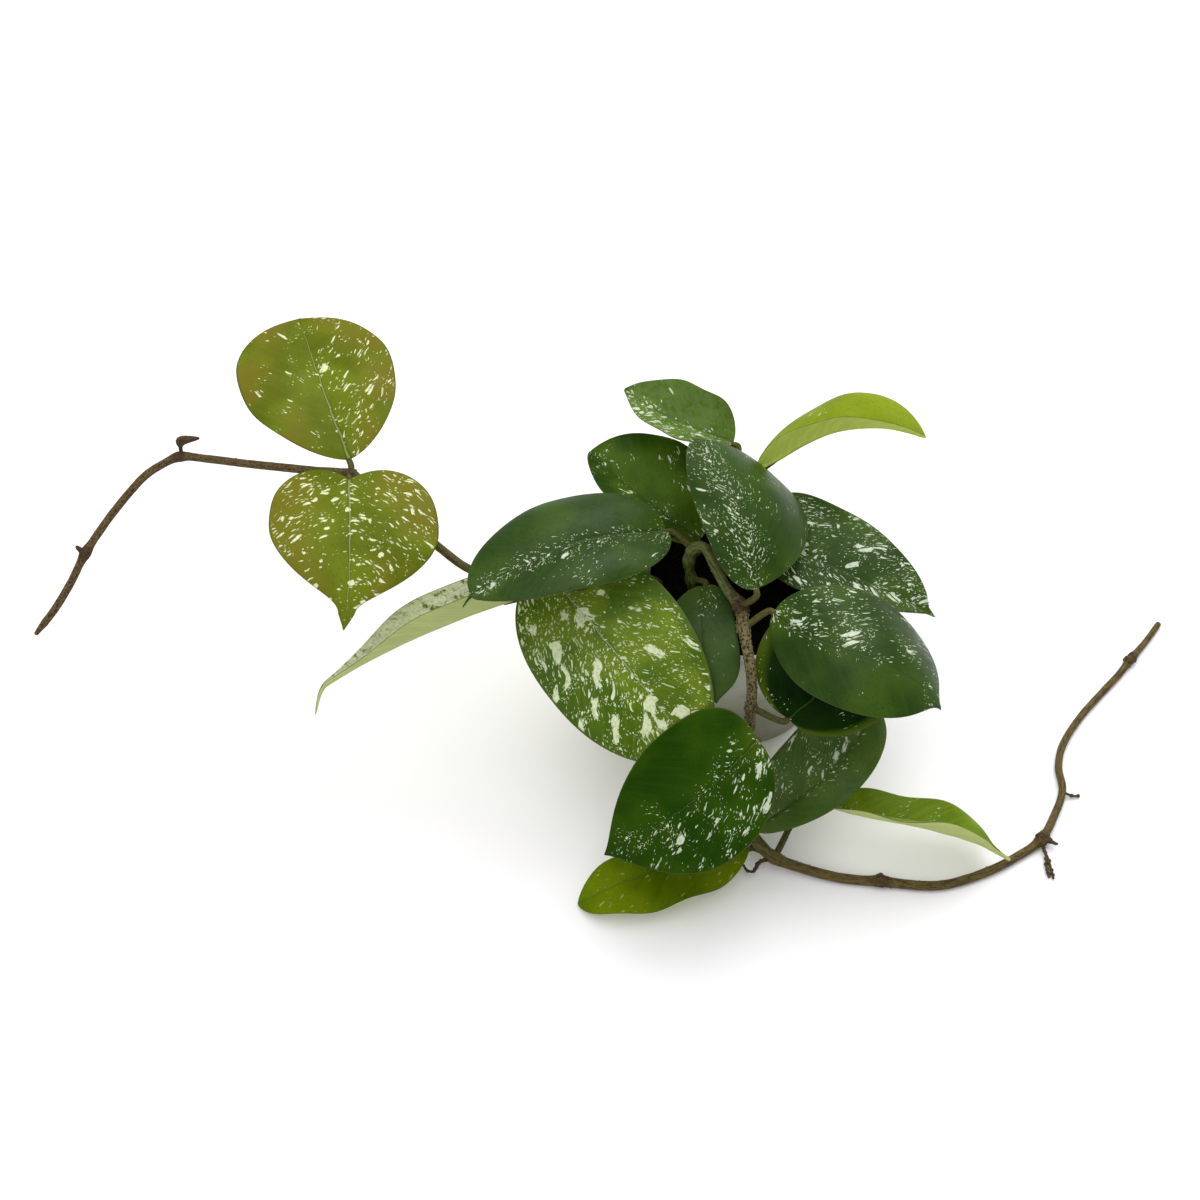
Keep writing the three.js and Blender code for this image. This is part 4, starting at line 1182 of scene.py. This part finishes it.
COATS = {
    "leaf_round": {"slot": "young_leaf", "splash": -0.02, "fleck": 0.12, "speck": 0.12, "side": -0.1},
    "leaf_heart": {
        "slot": "young_leaf", "splash": 0.08, "fleck": 0.28, "speck": 0.2, "rise": 0.15, "run": -0.2,
        "blotch": 1.2, "drawn": 2.0,
    },
    "leaf_folded": {
        "slot": "bright_leaf", "splash": 1.0, "fleck": 0.9, "frost_and_sheen": 0.9, "size": 1.4,
        "fleck_colour": (0.52, 0.54, 0.38),
    },
    "leaf_upper_left": {
        "slot": "dark_leaf", "splash": -0.02, "fleck": -0.08, "speck": -0.02, "gather": 0.3,
        "patchy": 0.6, "side": 0.2, "reach": 12.0, "shine": 0.14, "frost_and_sheen": 0.01,
    },
    "leaf_splashed": {
        "slot": "bright_leaf", "light": (0.14, 0.21, 0.008), "splash": 0.42, "fleck": 0.16, "speck": 0.34,
        "side": -0.14, "shine": 0.16, "size": 1.25, "blotch": 1.5, "patchy": 0.6, "rise": 0.6,
        "band": 0.6, "foot_colour": (0.04, 0.085, 0.001),
    },
    "leaf_front": {
        "slot": "dark_leaf", "deep": (0.01, 0.038, 0.0003), "light": (0.024, 0.064, 0.0008),
        "splash": 0.04, "fleck": 0.0, "speck": 0.0, "side": 0.26, "gather": 0.22, "reach": 20.0,
        "foot": 0.4, "run": -0.08, "shine": 0.03, "blotch": 1.2,
    },
    # Its greens are lighter than its own: painted light and satin sheen, over the shade from the leaves
    # above it.
    "leaf_lower_right": {
        "slot": "dark_leaf", "deep": (0.035, 0.08, 0.004), "light": (0.07, 0.13, 0.015), "splash": 0.06,
        "fleck": 0.06, "side": 0.26, "shine": 0.16, "size": 1.2, "frost_and_sheen": 0.02,
    },
    "leaf_right": {
        "slot": "dark_leaf", "light": (0.035, 0.078, 0.004), "fleck": 0.0, "speck": 0.08, "side": 0.24,
        "run": -0.2, "shine": 0.13, "size": 1.2, "blotch": 1.2,
    },
    # Its near-black greens are painted shade, as it lies deep under the leaves above it. Its pale margin
    # band is partly its own yellow-green rim and partly a painted highlight.
    "leaf_glossy": {
        "slot": "dark_leaf", "deep": (0.002, 0.012, 0.0002), "light": (0.006, 0.025, 0.0006),
        "splash": -1.0, "fleck": -0.1, "speck": 0.05, "gather": 0.0, "foot": 0.0, "band": 0.7,
        "roughness": 0.3, "shine": 0.04,
    },
    "leaf_inner": {
        "slot": "dark_leaf", "deep": (0.016, 0.044, 0.003), "light": (0.04, 0.078, 0.012),
        "splash": -0.5, "fleck": -0.06, "speck": 0.04, "gather": 0.0, "run": -0.2, "shine": 0.12,
        "frost_and_sheen": 0.01,
    },
    "leaf_back_left": {
        "slot": "dark_leaf", "light": (0.05, 0.1, 0.006), "splash": -0.02, "fleck": 0.06, "speck": 0.02,
    },
    "leaf_centre": {
        "slot": "dark_leaf", "splash": -0.02, "fleck": 0.02, "speck": 0.14, "side": 0.16,
        "gather": 0.34, "reach": 13.0, "rise": 0.8, "shine": 0.14,
    },
    "leaf_back_right": {
        "slot": "dark_leaf", "light": (0.04, 0.08, 0.006), "splash": 0.24, "fleck": 0.16, "speck": 0.28,
        "gather": 0.0, "shine": 0.1, "frost_and_sheen": 0.01,
    },
    "leaf_top": {
        "slot": "dark_leaf", "deep": (0.05, 0.1, 0.004), "light": (0.09, 0.16, 0.016), "splash": 0.06,
        "fleck": 0.08, "side": 0.36, "size": 1.2, "frost_and_sheen": 0.05,
    },
    "leaf_arching": {
        "slot": "young_leaf", "deep": (0.15, 0.21, 0.004), "light": (0.21, 0.28, 0.012),
        "splash": -1.0, "fleck": -0.1, "speck": 0.0, "blush": 0.0,
    },
    "leaf_low_left": {
        "slot": "bright_leaf", "deep": (0.065, 0.115, 0.0006), "light": (0.13, 0.19, 0.002),
        "splash": 0.02, "fleck": 0.1, "speck": 0.0, "fleck_colour": (0.28, 0.34, 0.1), "rib": 0.1,
        "shine": 0.02, "size": 1.3,
    },
    "leaf_low_right": {
        "slot": "bright_leaf", "deep": (0.09, 0.15, 0.003), "light": (0.17, 0.25, 0.012),
        "splash": -1.0, "fleck": -0.1, "speck": 0.05, "rib": 0.2,
    },
}
COAT_SEED_STEP = 17.0
PETIOLE_RADIUS, PETIOLE_RUN, PETIOLE_SINK = 1.6, 9, 1.3
PETIOLE_TAPER, MIDRIB_SPREAD = (1.05, 1, 0.9, 0.3), 0.2
PETIOLE_STEP, PETIOLE_SIDES, PETIOLE_RELIEF, PETIOLE_AGE = 0.5, 20, 0.1, 0.35
PETIOLE_SKIN = {
    "name": "petiole_skin", "young": (0.08, 0.088, 0.018), "dry": (0.08, 0.065, 0.02),
    "old": (0.09, 0.07, 0.02), "blush": (0.06, 0.04, 0.015), "roughening": 0.3,
}
petiole_skin = stem_material(**PETIOLE_SKIN)


def petiole_path(leaf):
    """The petiole's places, from inside its node to under the midrib."""
    vine = VINES[leaf["vine"]]
    node = np.array(vine["path"][vine["nodes"][leaf["node"]]][:3], float)
    s = np.array([0, 1, 1, 1]) * PETIOLE_RUN / blade_length(leaf)
    base, inner, right, left = blade_sheet(leaf, s, np.array([0, 0, -MIDRIB_SPREAD, MIDRIB_SPREAD]))[0]
    out = np.cross(inner - base, left - right)
    sink = out / np.linalg.norm(out) * PETIOLE_SINK
    approach = base - (inner - base) * leaf["lead"] / PETIOLE_RUN - sink
    places = [node, approach, base - sink, inner - sink]
    return [[*place, PETIOLE_RADIUS * share] for place, share in zip(places, PETIOLE_TAPER)]


def petiole_piece(name, leaf):
    """A thin stem from the vine to the blade."""
    rows = with_round_tip(smooth_path(petiole_path(leaf), PETIOLE_STEP))
    stalk = path_piece(name, [(rows, np.zeros(len(rows)), np.full(len(rows), PETIOLE_AGE))])
    return grown(stalk, stems, Sides=PETIOLE_SIDES, Relief=PETIOLE_RELIEF * MM, Finish=petiole_skin)


def joined(first, second):
    """The two objects as one, under the first one's name."""
    pair = [first, second]
    with bpy.context.temp_override(
        active_object=first, object=first, selected_objects=pair, selected_editable_objects=pair
    ):
        bpy.ops.object.join()
    return first


for number, (name, own_form) in enumerate(LEAVES.items()):
    leaf = {**LEAF_FORM, **own_form}
    slot = COATS[name]["slot"]
    skin = leaf_material(name + "_skin", {**SLOT_COATS[slot], **COATS[name]}, number * COAT_SEED_STEP)
    blade = blade_piece(name + "_blade", leaf, skin, number)
    blade = joined(blade, petiole_piece(name + "_petiole", leaf))
    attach(blade, "root")
    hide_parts(name)
